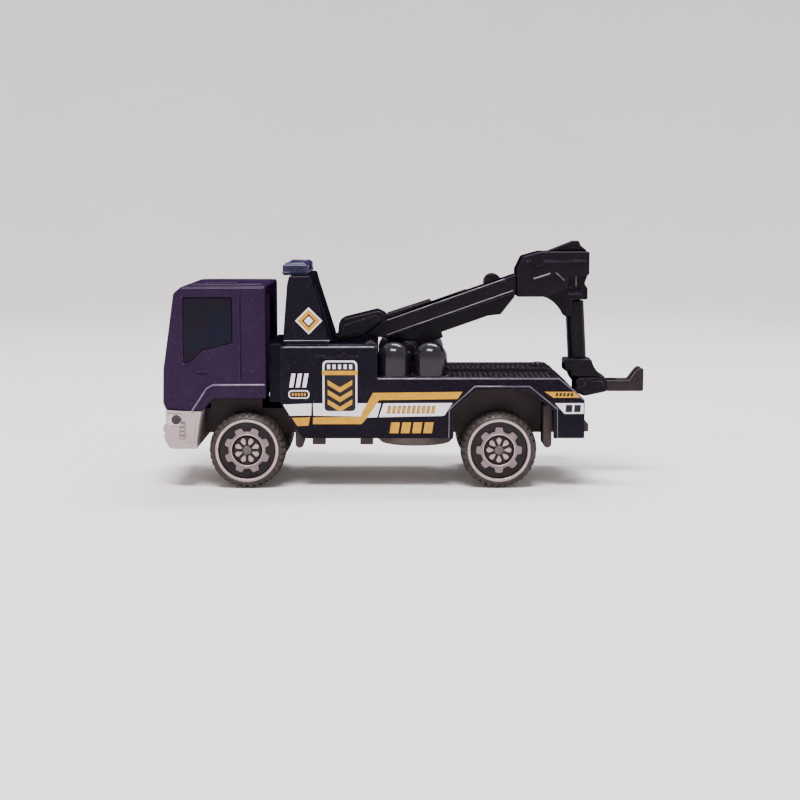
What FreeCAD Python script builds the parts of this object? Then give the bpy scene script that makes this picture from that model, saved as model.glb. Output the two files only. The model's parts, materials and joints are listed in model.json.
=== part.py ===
import FreeCAD, Part
import math
import os
import Sketcher

# Toy tow truck, millimetres. +Z up, the truck faces -X, its left side is -Y.
# The origin lies on the floor, midway along the truck's length and width.

SIZES = {
    # cab shell
    "cab_front_x": -49.35, "cab_rear_x": -28.3, "cab_floor_z": 15.7, "cab_chin_x": -48.75,
    "cab_chin_z": 17.2, "cab_bonnet_x": -49.15, "cab_bonnet_z": 24.0,
    "cab_belt_x": -48.43, "cab_belt_z": 28.4, "cab_brow_x": -46.75, "cab_brow_z": 39.2,
    "cab_roof_x": -44.9, "cab_roof_z": 40.7, "cab_half_width": 16.15, "cab_wall": 1.2,
    "cab_corner_x": -44.85, "cab_corner_half": 13.9, "cab_front_core_half": 13.2,
    "roof_round": 0.9, "cab_post_x": -37.5,
    # front wheel arch of the cab and its raised fender lip
    "arch_top_z": 18.2, "arch_knee_x": -38.7, "arch_foot_x": -41.2,
    "fender_half_width": 16.5, "fender_top_z": 21.0, "fender_knee_x": -38.9,
    "fender_bend_x": -40.2, "fender_bend_z": 20.3, "fender_foot_x": -43.2,
    # windows and the dark insert behind them
    "window_top_z": 38.4, "window_rear_x": -35.03, "window_sill_z": 29.4,
    "window_dip_x": -41.15, "window_dip_z": 27.9, "window_step_x": -42.95,
    "window_step_z": 26.1, "window_low_x": -44.63, "window_low_z": 25.3,
    "screen_low_z": 29.2, "screen_half": 13.0, "glass_recess": 0.25, "glass_wall": 1.0,
    "glass_fit": 0.05, "glass_low_z": 24.6, "glass_rear_x": -34.2, "tool_past": 1.0,
    # front bumper and headlights
    "bumper_front_x": -49.27, "bumper_low_x": -48.95, "bumper_toe_x": -47.95,
    "bumper_base_z": 8.1, "bumper_half_width": 16.4, "bumper_wall": 1.4,
    "bumper_rear_x": -41.25, "bumper_bend_x": -41.85, "bumper_bend_z": 12.6,
    "bumper_foot_x": -42.25, "bumper_foot_z": 9.6, "bumper_corner_half": 14.4,
    "bumper_corner_x": -46.6, "groove_low_z": 10.8, "groove_high_z": 11.2,
    "groove_depth": 0.3, "lamp_low_z": 12.6, "lamp_high_z": 15.2, "lamp_rear_x": -45.35,
    "lamp_inner_half": 11.5, "lamp_ledge_x": -48.75, "step_low_z": 10.0,
    "step_high_z": 13.6, "step_front_x": -45.75, "step_rear_x": -44.55, "step_depth": 0.5,
    # chassis base
    "beam_half_width": 9.0, "beam_front_x": -41.2, "beam_rear_x": 34.0,
    "beam_low_z": 10.4, "beam_top_z": 15.4, "base_wall": 1.2, "plate_half_width": 15.0,
    "plate_front_x": -22.0, "plate_rear_x": 8.6, "saddle_half": 1.7, "saddle_low_z": 6.3,
    "saddle_inner_y": 4.6, "flap_thick": 1.65, "flap_front_x": -22.6, "flap_rear_x": 27.35,
    "flap_low_z": 8.1, "flap_top_z": 16.6, "flap_inner_y": 8.9, "flap_outer_y": 14.9,
    "flap_round": 0.8, "foot_length": 2.6, "foot_one_x": -19.15, "foot_two_x": -9.55,
    "foot_low_z": 8.8, "foot_inner_y": 12.6, "step_plate_half": 11.0,
    "step_plate_rear_x": 36.9, "step_plate_low_z": 10.8, "step_plate_top_z": 12.4,
    "well_front_x": 9.6, "well_rear_x": 28.6, "well_top_z": 20.7,
    "well_cab_x": -40.2, "well_cab_rear_x": -29.7, "well_cab_top_z": 22.0,
    # rivets that close the base on the posts of the castings
    "rivet_head": 1.5, "rivet_shank": 0.8, "rivet_head_z": 9.8, "rivet_top_z": 14.2,
    "post_radius": 1.9, "post_one_x": -16.5, "post_two_x": 28.0,
    # spare wheel
    "spare_x": 1.8, "spare_radius": 7.9, "spare_low_z": 7.3, "spare_round": 0.6,
    "spare_hub": 3.6, "spare_dish": 0.9,
    # wheels
    "front_axle_x": -32.31, "rear_axle_x": 18.39, "tyre_radius": 7.7, "tyre_outer_y": 16.3,
    "tyre_inner_y": 9.7, "tyre_round": 0.8, "rim_seat": 6.35, "rim_lip": 5.68,
    "rim_outer_y": 15.95, "rim_inner_y": 10.1, "rim_face_y": 15.2, "rim_back_y": 14.0,
    "hub_radius": 2.4, "axle_radius": 0.6, "axle_bore": 0.65, "axle_head": 0.92,
    "axle_end_y": 15.85,
    # tow body
    "body_half_width": 16.2, "body_wall": 1.1, "body_front_x": -25.35, "bed_top_z": 22.3,
    "bed_skin": 1.5, "slope_top_x": 30.55, "slope_mid_x": 33.2, "slope_mid_z": 20.0,
    "body_rear_x": 35.45, "body_rear_top_z": 17.9, "body_low_z": 10.2,
    "chamfer_top_z": 17.2, "chamfer_low_x": -21.15,
    "locker_rear_x": -6.15, "locker_top_z": 28.8, "locker_inner_y": 8.9,
    "locker_round": 0.9, "bulkhead_rear_x": -16.1, "neck_front_x": -27.9, "neck_half": 12.5,
    "rear_arch_front_x": 9.0, "rear_arch_knee_z": 15.8, "rear_arch_top_front_x": 13.7,
    "rear_arch_top_z": 20.0, "rear_arch_top_rear_x": 24.1, "rear_arch_rear_x": 29.3,
    "arch_lip": 0.7, "arch_lip_slant": 0.3, "lip_half_width": 16.5, "notch_half": 4.8,
    "notch_front_x": 30.65,
    "notch_low_z": 15.6, "tail_cut_half": 11.1, "tail_cut_z": 12.5,
    # deck
    "deck_half_width": 14.9, "deck_rear_x": 30.2, "deck_thick": 0.6, "band_half": 3.9,
    "band_rise": 0.7, "stud_x": 27.4, "stud_radius": 0.95, "stud_top_z": 24.1,
    "stud_round": 0.5,
    # domes and ribbed caps on the lockers
    "dome_front_x": -2.7, "dome_rear_x": 4.63, "dome_radius": 3.39, "dome_y": 12.3,
    "dome_top_z": 29.24, "dome_round": 3.2, "cap_x": -7.5, "cap_z": 28.5, "cap_radius": 1.2,
    "cap_inner_y": 11.6, "cap_outer_y": 14.4,
    # tower and light bar
    "tower_half": 14.4, "tower_front_x": -25.1, "tower_knee_x": -24.1, "tower_knee_z": 40.9,
    "tower_top_front_x": -23.7, "tower_top_z": 42.6, "tower_top_rear_x": -19.45,
    "tower_neck_x": -18.85, "tower_neck_z": 40.3, "tower_rear_x": -15.4, "tower_wall": 1.4,
    "light_front_x": -25.1, "light_rear_x": -20.2, "light_half": 11.0, "light_top_z": 45.0,
    "light_round": 0.7,
    # boom pivot and bracket
    "pivot_x": 0.5, "pivot_z": 27.11, "incline": 19.4, "pin_radius": 0.9, "pin_bore": 0.95,
    "pin_half": 5.5, "ear_outer_y": 5.2, "ear_radius": 2.0, "ear_crown_half": 1.2,
    "ear_crown_rise": 1.6, "ear_foot_front_x": -6.0, "ear_shoulder_z": 26.6,
    "stop_front_x": 3.6, "stop_rear_x": 5.0, "stop_top_z": 27.7,
    # boom, in its own frame: u runs up the boom from the pivot, v square to it
    "beam_half": 3.6, "beam_side_low": 3.7, "beam_side_top": 7.2, "beam_side_start": -3.8,
    "beam_tip_u": -8.1, "beam_tip_v": 5.8, "beam_top_start": -4.0, "end_gap": 0.1,
    "belly_half": 2.5, "belly_low": -0.2, "belly_step_u": 7.4,
    "belly_line": 0.95, "belly_drop_u": 17.6, "belly_foot_u": 20.2, "belly_foot_v": 0.35,
    "belly_end_u": 24.1, "belly_end_v": 2.85, "belly_start_u": -3.8, "lug_radius": 1.9,
    "slot_half": 2.6, "slot_low": 4.55, "slot_high": 6.35, "slot_start": 8.4,
    "winch_half": 4.6, "winch_low_u": -13.8, "winch_low_v": 6.2, "winch_brow_u": -11.9,
    "winch_brow_v": 10.1, "winch_crown_u": -10.6, "winch_crown_v": 10.4,
    "winch_back_u": -3.6, "winch_back_v": 9.7, "winch_end_u": -2.3, "winch_end_v": 8.4,
    "cover_half": 2.5, "cover_top": 8.2, "cover_step_v": 7.95, "cover_step_u": 7.5,
    "cover_low": 7.5, "cover_end_u": 15.3, "knob_u": 20.8, "knob_radius": 1.8,
    "knob_half": 1.7, "inner_half": 2.55, "inner_low": 4.6, "inner_high": 6.3,
    "inner_start": 9.4,
    # boom head
    "head_half": 4.6, "head_front_x": 22.6, "head_low_z": 37.9, "head_side_z": 43.5,
    "head_step_x": 23.9, "head_step_z": 46.2, "head_crown_x": 27.5, "head_top_z": 47.2,
    "head_rear_x": 37.5, "head_rear_z": 42.4, "head_arch_x": 28.0, "head_window_x": 33.0,
    "head_window_low": 39.55, "head_window_high": 41.9, "web_half": 2.3, "strut_x": 36.5,
    "strut_waist_x": 36.8, "strut_waist_z": 40.5, "web_knee_z": 37.2,
    "web_bow_x": 0.48, "web_bow_z": 0.55, "web_foot_x": 32.8, "web_foot_z": 33.7,
    "collar_x": 34.87, "collar_radius": 2.63,
    "socket_bore": 1.25, "rod_clear": 2.0,
    "knob_two_x": 26.8, "knob_two_radius": 1.45, "knob_two_z": 45.5, "knob_two_inner": 4.6,
    "knob_two_outer": 5.0, "horn_half": 0.9, "horn_front_x": 28.9, "horn_peak_x": 34.3,
    "horn_top_z": 49.36, "horn_rear_x": 35.7, "horn_drop_x": 36.05, "horn_drop_z": 48.4,
    # drop arm, from the top of its foot along its own leaning axis
    "arm_x": 35.65, "arm_z": 24.9, "arm_lean": 3.4, "rod_radius": 1.94, "rod_top": 12.0,
    "rod_foot": 0.12, "rod_entry": 6.0, "rod_neck": 1.2, "rod_cap": 1.55, "rod_cap_low": 14.85,
    "rod_cap_top": 16.2,
    # foot bracket, fork carrier and fork
    "foot_half": 3.0, "foot_left_x": 32.76, "foot_right_x": 38.4, "foot_bow_x": -0.45,
    "foot_bow_z": -0.5, "foot_tip_x": 41.5, "foot_base_z": 21.1, "foot_band_z": 22.3,
    "foot_heel_x": 33.9, "tongue_half": 1.3, "fold_x": 36.0, "fold_z": 19.87,
    "fold_pin": 0.6, "fold_bore": 0.65, "fold_lug": 1.1, "lug_corner": 0.77,
    "slot_gap": 0.1, "carrier_rise_x": 35.7,
    "carrier_half": 2.9, "carrier_left_x": 34.9, "carrier_right_x": 41.54,
    "carrier_low_z": 18.0, "carrier_heel_x": 37.05, "carrier_heel_z": 17.05,
    "carrier_slot_x": 38.1, "fork_half": 2.8, "fork_top_z": 20.4, "fork_low_z": 18.1,
    "fork_rise_x": 46.5, "fork_tip_x": 49.35, "fork_tip_z": 22.9, "fork_crook_x": 47.9,
    "fork_crook_z": 22.3, "fork_round": 0.35,
    "fork_tip_left_x": 48.6, "fork_tenon_half": 1.6, "fork_slot_half": 1.0,
    "fork_slot_x": 44.2, "fork_tenon_x": 39.4, "fork_tenon_low": 18.7,
    "fork_tenon_high": 20.0,
}


class Dim:
    """A length that carries the spreadsheet expression it is worked out from."""

    def __init__(self, value, text):
        self.value = value
        self.text = text

    def __add__(self, other):
        return Dim(self.value + value_of(other), f"({self.text} + {text_of(other)})")

    def __sub__(self, other):
        return Dim(self.value - value_of(other), f"({self.text} - {text_of(other)})")

    def __mul__(self, other):
        return Dim(self.value * value_of(other), f"({self.text} * {text_of(other)})")

    def __neg__(self):
        return Dim(-self.value, f"(0 - {self.text})")


def value_of(size):
    return size.value if isinstance(size, Dim) else size


def text_of(size):
    return size.text if isinstance(size, Dim) else repr(size)


class SizeNames:
    """Gives each named size of the sheet as a Dim."""

    def __getattr__(self, name):
        return Dim(SIZES[name], "Sizes." + name)


def fill_sheet(doc):
    sheet = doc.addObject("Spreadsheet::Sheet", "Sizes")
    for row, (name, value) in enumerate(SIZES.items(), start=1):
        sheet.set(f"A{row}", name)
        sheet.set(f"B{row}", str(value))
        sheet.setAlias(f"B{row}", name)
    doc.recompute()


doc = FreeCAD.newDocument("tow_truck")
fill_sheet(doc)
S = SizeNames()
SIDES = {"left": -1, "right": 1}
PARTS = []


# ---------- drawing helpers ----------

def new_body(label, base=(0, 0, 0), turn=0):
    """A body at a base point, turned about +Y by a number of degrees."""
    body = doc.addObject("PartDesign::Body", label)
    body.Label = label
    angle = value_of(turn)
    body.Placement = FreeCAD.Placement(
        FreeCAD.Vector(*[value_of(size) for size in base]),
        FreeCAD.Rotation(FreeCAD.Vector(0, 1, 0), angle))
    for axis, size in zip("xyz", base):
        if isinstance(size, Dim):
            body.setExpression(f".Placement.Base.{axis}", size.text)
    PARTS.append(body)
    return body


def sketch_on(body, role, start):
    """An empty sketch on one of the body's own planes, moved along its normal."""
    sketch = body.newObject("Sketcher::SketchObject", body.Label + "_sketch")
    plane = [item for item in body.Origin.OriginFeatures if item.Role == role][0]
    sketch.AttachmentSupport = [(plane, "")]
    sketch.MapMode = "FlatFace"
    sketch.setExpression(".AttachmentOffset.Base.z", text_of(start))
    return sketch


def pin_point(sketch, geometry, position, point):
    """Ties a sketch point to its two sizes, or to an axis where a size is zero."""
    kinds = (("DistanceX", -2), ("DistanceY", -1))
    for (kind, axis), size in zip(kinds, point):
        if value_of(size) == 0:
            sketch.addConstraint(Sketcher.Constraint("PointOnObject", geometry, position, axis))
            continue
        index = sketch.addConstraint(
            Sketcher.Constraint(kind, -1, 1, geometry, position, value_of(size)))
        if isinstance(size, Dim):
            sketch.setExpression(f"Constraints[{index}]", size.text)


def draw_outline(sketch, points):
    """A closed outline of straight lines through the points."""
    corners = [FreeCAD.Vector(value_of(x), value_of(y), 0) for x, y in points]
    count = len(corners)
    for index, corner in enumerate(corners):
        sketch.addGeometry(Part.LineSegment(corner, corners[(index + 1) % count]), False)
    for index in range(count):
        sketch.addConstraint(
            Sketcher.Constraint("Coincident", index, 2, (index + 1) % count, 1))
    for index, point in enumerate(points):
        pin_point(sketch, index, 1, point)


def draw_disc(sketch, centre, radius):
    middle = FreeCAD.Vector(value_of(centre[0]), value_of(centre[1]), 0)
    circle = Part.Circle(middle, FreeCAD.Vector(0, 0, 1), value_of(radius))
    sketch.addGeometry(circle, False)
    pin_point(sketch, 0, 3, centre)
    index = sketch.addConstraint(Sketcher.Constraint("Radius", 0, value_of(radius)))
    sketch.setExpression(f"Constraints[{index}]", text_of(radius))


def slab(body, role, shape, low, high, cut=False):
    """Pads, or cuts away, a shape between two distances along the plane's world axis."""
    start = -high if role == "XZ_Plane" else low
    sketch = sketch_on(body, role, start)
    if isinstance(shape, list):
        draw_outline(sketch, shape)
    else:
        draw_disc(sketch, *shape)
    before = body.Shape.Volume if cut else 0.0
    feature = body.newObject("PartDesign::Pocket" if cut else "PartDesign::Pad",
                             body.Label + "_slab")
    feature.Profile = sketch
    feature.setExpression("Length", text_of(high - low))
    feature.Reversed = cut
    sketch.Visibility = False
    doc.recompute()
    if cut and not body.Shape.Volume < before:
        raise RuntimeError(f"a cut in {body.Label} removes nothing")
    return feature


def cut_slab(body, role, shape, low, high):
    return slab(body, role, shape, low, high, cut=True)


def both_sides(action, body, role, shape, inner, outer):
    """The same slab at the left and at the right of the truck's middle plane."""
    action(body, role, shape, inner, outer)
    action(body, role, shape, -outer, -inner)


def box(x_low, x_high, z_low, z_high):
    return [(x_low, z_low), (x_high, z_low), (x_high, z_high), (x_low, z_high)]


def bow(start, end, bulge, steps=6):
    """Points of a smooth curve between two points, bulging most at its middle."""
    points = []
    for step in range(1, steps):
        share = step / steps
        swell = 4 * share * (1 - share)
        points.append(tuple(first + (last - first) * share + out * swell
                            for first, last, out in zip(start, end, bulge)))
    return points


def revolve(body, role, points, axis):
    sketch = sketch_on(body, role, 0)
    draw_outline(sketch, points)
    feature = body.newObject("PartDesign::Revolution", body.Label + "_turned")
    feature.Profile = sketch
    feature.ReferenceAxis = (sketch, [axis])
    feature.Angle = 360
    doc.recompute()
    return feature


def round_edges(body, radius, wanted):
    """Rounds the edges of the body's tip whose middle point passes the test."""
    tip = body.Tip
    names = []
    for index, edge in enumerate(tip.Shape.Edges, start=1):
        middle = edge.valueAt((edge.FirstParameter + edge.LastParameter) / 2)
        if wanted(edge, middle):
            names.append(f"Edge{index}")
    if not names:
        raise RuntimeError(f"no edge of {body.Label} to round")
    feature = body.newObject("PartDesign::Fillet", body.Label + "_round")
    feature.Base = (tip, names)
    feature.setExpression("Radius", text_of(radius))
    doc.recompute()
    return feature


def near(first, second, gap=0.02):
    return abs(value_of(first) - value_of(second)) < gap


# ---------- cab ----------

def front_line(z, inset):
    """X of the windscreen's slanted face at height z, moved back by inset."""
    share = (value_of(z) - SIZES["cab_belt_z"]) / (SIZES["cab_brow_z"] - SIZES["cab_belt_z"])
    return S.cab_belt_x + (S.cab_brow_x - S.cab_belt_x) * share + inset


def window_outline(grow=0):
    return [(S.cab_corner_x - grow, S.window_top_z + grow),
            (S.window_rear_x + grow, S.window_top_z + grow),
            (S.window_rear_x + grow, S.window_sill_z - grow),
            (S.window_dip_x, S.window_dip_z - grow),
            (S.window_step_x, S.window_step_z - grow),
            (S.window_low_x, S.window_low_z - grow),
            (S.cab_corner_x - grow, S.window_low_z - grow)]


def front_corner(front_x, corner_half, corner_x, half_width, side):
    """The wedge that is cut off a front corner of the cab or bumper, drawn from above."""
    before = front_x - S.tool_past
    beyond = (half_width + S.tool_past) * side
    return [(before, corner_half * side), (front_x, corner_half * side),
            (corner_x, half_width * side), (corner_x, beyond), (before, beyond)]


def make_cab_shell():
    body = new_body("cab_shell")
    profile = [(S.cab_chin_x, S.cab_floor_z), (S.cab_front_x, S.cab_chin_z),
               (S.cab_bonnet_x, S.cab_bonnet_z), (S.cab_belt_x, S.cab_belt_z),
               (S.cab_brow_x, S.cab_brow_z), (S.cab_roof_x, S.cab_roof_z),
               (S.cab_rear_x, S.cab_roof_z), (S.cab_rear_x, S.arch_top_z),
               (S.arch_knee_x, S.arch_top_z), (S.arch_foot_x, S.cab_floor_z)]
    slab(body, "XZ_Plane", profile, -S.cab_half_width, S.cab_half_width)
    round_edges(body, S.roof_round, lambda edge, middle: (
        middle.z > SIZES["cab_brow_z"] and edge.BoundBox.YLength < 0.1))
    fender = [(S.cab_rear_x, S.arch_top_z), (S.cab_rear_x, S.fender_top_z),
              (S.fender_knee_x, S.fender_top_z), (S.fender_bend_x, S.fender_bend_z),
              (S.fender_foot_x, S.cab_floor_z), (S.arch_foot_x, S.cab_floor_z),
              (S.arch_knee_x, S.arch_top_z)]
    both_sides(slab, body, "XZ_Plane", fender, S.cab_half_width - S.cab_wall,
               S.fender_half_width)
    for side in SIDES.values():
        corner = front_corner(S.cab_front_x, S.cab_corner_half, S.cab_corner_x,
                              S.cab_half_width, side)
        cut_slab(body, "XY_Plane", corner, S.cab_floor_z - 1, S.cab_roof_z + 1)
    front_core = [(S.cab_front_x + S.cab_wall, S.cab_floor_z - 1),
                  (S.cab_front_x + S.cab_wall, S.cab_bonnet_z),
                  (S.cab_belt_x + S.cab_wall, S.cab_belt_z),
                  (S.cab_brow_x + S.cab_wall, S.cab_brow_z),
                  (S.cab_roof_x, S.cab_roof_z - S.cab_wall),
                  (S.cab_corner_x, S.cab_roof_z - S.cab_wall),
                  (S.cab_corner_x, S.cab_floor_z - 1)]
    cut_slab(body, "XZ_Plane", front_core, -S.cab_front_core_half, S.cab_front_core_half)
    main_core = box(S.cab_corner_x, S.cab_rear_x - S.cab_wall,
                    S.cab_floor_z - 1, S.cab_roof_z - S.cab_wall)
    cut_slab(body, "XZ_Plane", main_core, -(S.cab_half_width - S.cab_wall),
             S.cab_half_width - S.cab_wall)
    screen = box(S.cab_front_x - 1, S.cab_brow_x + S.cab_wall * 2,
                 S.screen_low_z, S.window_top_z)
    cut_slab(body, "XZ_Plane", screen, -S.screen_half, S.screen_half)
    both_sides(cut_slab, body, "XZ_Plane", window_outline(),
               S.cab_half_width - S.cab_wall * 2, S.fender_half_width)
    slab(body, "XY_Plane", ((S.cab_post_x, 0), S.post_radius),
         S.beam_low_z + S.base_wall, S.cab_roof_z - S.cab_wall)
    cut_slab(body, "XY_Plane", ((S.cab_post_x, 0), S.rivet_shank),
             S.beam_low_z, S.rivet_top_z)


def make_cab_glazing():
    body = new_body("cab_glazing")
    inset = S.cab_wall + S.glass_fit
    side_half = S.cab_half_width - inset
    front_half = S.cab_front_core_half - S.glass_fit
    top = S.cab_roof_z - inset
    low = S.glass_low_z
    front = [(S.cab_bonnet_x + inset, low), (S.cab_belt_x + inset, S.cab_belt_z),
             (S.cab_brow_x + inset, S.cab_brow_z - S.glass_fit),
             (S.cab_corner_x + S.glass_fit, top), (S.cab_corner_x + S.glass_fit, low)]
    slab(body, "XZ_Plane", front, -front_half, front_half)
    slab(body, "XZ_Plane", box(S.cab_corner_x + S.glass_fit, S.glass_rear_x, low, top),
         -side_half, side_half)
    screen = [(front_line(S.screen_low_z, S.glass_recess), S.screen_low_z + S.glass_fit),
              (front_line(S.window_top_z, S.glass_recess), S.window_top_z - S.glass_fit),
              (S.cab_brow_x + S.cab_wall * 2, S.window_top_z - S.glass_fit),
              (S.cab_brow_x + S.cab_wall * 2, S.screen_low_z + S.glass_fit)]
    slab(body, "XZ_Plane", screen, -(S.screen_half - S.glass_fit),
         S.screen_half - S.glass_fit)
    both_sides(slab, body, "XZ_Plane", window_outline(-S.glass_fit),
               side_half - S.glass_wall, S.cab_half_width - S.glass_recess)
    core = [(S.cab_bonnet_x + inset + S.glass_wall, low - 1),
            (S.cab_brow_x + inset + S.glass_wall, top + 1),
            (S.glass_rear_x + 1, top + 1), (S.glass_rear_x + 1, low - 1)]
    core_half = front_half - S.glass_wall
    cut_slab(body, "XZ_Plane", core, -core_half, core_half)


# ---------- front bumper ----------

def bumper_corner(shrink, side):
    return front_corner(S.bumper_front_x, S.bumper_corner_half - shrink,
                        S.bumper_corner_x, S.bumper_half_width - shrink, side)


def make_front_bumper():
    body = new_body("front_bumper")
    profile = [(S.bumper_toe_x, S.bumper_base_z), (S.bumper_low_x, S.bumper_foot_z),
               (S.bumper_front_x, S.groove_high_z), (S.bumper_front_x, S.lamp_low_z),
               (S.lamp_ledge_x, S.lamp_low_z), (S.lamp_ledge_x, S.cab_floor_z),
               (S.bumper_rear_x, S.cab_floor_z), (S.bumper_bend_x, S.bumper_bend_z),
               (S.bumper_foot_x, S.bumper_foot_z), (S.bumper_foot_x, S.bumper_base_z)]
    slab(body, "XZ_Plane", profile, -S.bumper_half_width, S.bumper_half_width)
    for side in SIDES.values():
        cut_slab(body, "XY_Plane", bumper_corner(0, side), S.bumper_base_z - 1,
                 S.cab_floor_z + 1)
    core = box(S.bumper_low_x + S.bumper_wall, S.bumper_foot_x - S.bumper_wall,
               S.bumper_base_z - 1, S.lamp_low_z - S.bumper_wall)
    core_half = S.bumper_corner_half - S.bumper_wall
    cut_slab(body, "XZ_Plane", core, -core_half, core_half)
    groove = box(S.bumper_front_x - 1, S.bumper_low_x + S.groove_depth,
                 S.groove_low_z, S.groove_high_z)
    cut_slab(body, "XZ_Plane", groove, -S.bumper_half_width, S.bumper_half_width)
    lamp = box(S.bumper_front_x - 1, S.lamp_rear_x, S.lamp_low_z, S.lamp_high_z)
    both_sides(cut_slab, body, "XZ_Plane", lamp, S.lamp_inner_half,
               S.bumper_half_width + 1)
    steps = box(S.step_front_x, S.step_rear_x, S.step_low_z, S.step_high_z)
    both_sides(cut_slab, body, "XZ_Plane", steps, S.bumper_half_width - S.step_depth,
               S.bumper_half_width + 1)


def make_headlight(name, side):
    body = new_body("headlight_" + name)
    profile = box(S.lamp_ledge_x + S.glass_fit, S.lamp_rear_x, S.lamp_low_z, S.lamp_high_z)
    inner = S.lamp_inner_half
    outer = S.bumper_half_width - S.glass_recess
    low, high = (inner, outer) if side > 0 else (-outer, -inner)
    slab(body, "XZ_Plane", profile, low, high)
    cut_slab(body, "XY_Plane", bumper_corner(S.glass_recess, side), S.lamp_low_z - 1,
             S.lamp_high_z + 1)


# ---------- chassis base ----------

def make_chassis_base():
    body = new_body("chassis_base")
    beam = box(S.beam_front_x, S.beam_rear_x, S.beam_low_z, S.beam_top_z)
    slab(body, "XZ_Plane", beam, -S.beam_half_width, S.beam_half_width)
    plate = box(S.plate_front_x, S.plate_rear_x, S.beam_low_z, S.beam_low_z + S.base_wall)
    slab(body, "XZ_Plane", plate, -S.plate_half_width, S.plate_half_width)
    core = box(S.beam_front_x + S.base_wall, S.beam_rear_x - S.base_wall,
               S.beam_low_z + S.base_wall, S.beam_top_z + 1)
    core_half = S.beam_half_width - S.base_wall
    cut_slab(body, "XZ_Plane", core, -core_half, core_half)
    rear_well = box(S.well_front_x, S.well_rear_x, S.beam_top_z, S.well_top_z)
    both_sides(slab, body, "XZ_Plane", rear_well, core_half, S.beam_half_width)
    cab_well = box(S.well_cab_x, S.well_cab_rear_x, S.beam_top_z, S.well_cab_top_z)
    both_sides(slab, body, "XZ_Plane", cab_well, core_half, S.beam_half_width)
    for axle_x in (S.front_axle_x, S.rear_axle_x):
        saddle = box(axle_x - S.saddle_half, axle_x + S.saddle_half,
                     S.saddle_low_z, S.beam_low_z + S.base_wall)
        both_sides(slab, body, "XZ_Plane", saddle, S.saddle_inner_y, S.beam_half_width)
        cut_slab(body, "XZ_Plane", ((axle_x, S.tyre_radius), S.axle_bore),
                 -S.tyre_outer_y, S.tyre_outer_y)
    for flap_x in (S.flap_front_x, S.flap_rear_x):
        flap = box(flap_x, flap_x + S.flap_thick, S.flap_low_z, S.flap_top_z)
        both_sides(slab, body, "XZ_Plane", flap, S.flap_inner_y, S.flap_outer_y)
    for foot_x in (S.foot_one_x, S.foot_two_x):
        foot = box(foot_x, foot_x + S.foot_length, S.foot_low_z, S.beam_low_z)
        both_sides(slab, body, "XZ_Plane", foot, S.foot_inner_y, S.plate_half_width)
    tongue = box(S.beam_rear_x - S.base_wall, S.step_plate_rear_x,
                 S.step_plate_low_z, S.step_plate_top_z)
    slab(body, "XZ_Plane", tongue, -S.step_plate_half, S.step_plate_half)
    for post_x in (S.cab_post_x, S.post_one_x, S.post_two_x):
        cut_slab(body, "XY_Plane", ((post_x, 0), S.rivet_shank), S.beam_low_z - 1,
                 S.beam_low_z + S.base_wall + 1)
    round_edges(body, S.flap_round, lambda edge, middle: (
        near(middle.z, S.flap_low_z) and edge.BoundBox.YLength > 1))


def make_chassis_rivets():
    """Three rivets as one group: a separate solid each."""
    solids = []
    for post_x in ("cab_post_x", "post_one_x", "post_two_x"):
        base = FreeCAD.Vector(SIZES[post_x], 0, SIZES["rivet_head_z"])
        up = FreeCAD.Vector(0, 0, 1)
        head = Part.makeCylinder(SIZES["rivet_head"], SIZES["beam_low_z"] - base.z, base, up)
        shank = Part.makeCylinder(SIZES["rivet_shank"], SIZES["rivet_top_z"] - base.z,
                                  base, up)
        solids.append(head.fuse(shank).removeSplitter().Solids[0])
    group = doc.addObject("Part::Feature", "chassis_rivets")
    group.Label = "chassis_rivets"
    group.Shape = Part.makeCompound(solids)
    group.Placement = FreeCAD.Placement()
    PARTS.append(group)


def make_spare_wheel():
    body = new_body("spare_wheel", (S.spare_x, 0, 0))
    profile = [(0, S.spare_low_z + S.spare_dish), (S.spare_hub, S.spare_low_z + S.spare_dish),
               (S.spare_hub, S.spare_low_z), (S.spare_radius - S.spare_round, S.spare_low_z),
               (S.spare_radius, S.spare_low_z + S.spare_round), (S.spare_radius, S.beam_low_z),
               (0, S.beam_low_z)]
    revolve(body, "XZ_Plane", profile, "V_Axis")


# ---------- wheels ----------

def make_axle(name, axle_x):
    body = new_body(name, (axle_x, 0, S.tyre_radius))
    profile = [(-S.axle_end_y, 0), (-S.axle_end_y, S.axle_head), (-S.rim_face_y, S.axle_head),
               (-S.rim_face_y, S.axle_radius), (S.rim_face_y, S.axle_radius),
               (S.rim_face_y, S.axle_head), (S.axle_end_y, S.axle_head), (S.axle_end_y, 0)]
    revolve(body, "YZ_Plane", profile, "H_Axis")


def make_rim(name, axle_x, side):
    body = new_body(name, (axle_x, 0, S.tyre_radius))
    outline = [(S.rim_inner_y, S.rim_seat), (S.rim_outer_y, S.rim_seat),
               (S.rim_outer_y, S.rim_lip), (S.rim_face_y, S.rim_lip),
               (S.rim_face_y, S.axle_radius), (S.rim_inner_y, S.axle_radius),
               (S.rim_inner_y, S.hub_radius), (S.rim_back_y, S.hub_radius),
               (S.rim_back_y, S.rim_lip), (S.rim_inner_y, S.rim_lip)]
    revolve(body, "YZ_Plane", [(y * side, radius) for y, radius in outline], "H_Axis")


def make_tyre(name, axle_x, side):
    body = new_body(name, (axle_x, 0, S.tyre_radius))
    outline = [(S.tyre_inner_y, S.rim_seat), (S.tyre_inner_y, S.tyre_radius - S.tyre_round),
               (S.tyre_inner_y + S.tyre_round, S.tyre_radius),
               (S.tyre_outer_y - S.tyre_round, S.tyre_radius),
               (S.tyre_outer_y, S.tyre_radius - S.tyre_round), (S.tyre_outer_y, S.rim_seat)]
    revolve(body, "YZ_Plane", [(y * side, radius) for y, radius in outline], "H_Axis")


# ---------- tow body ----------

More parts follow.
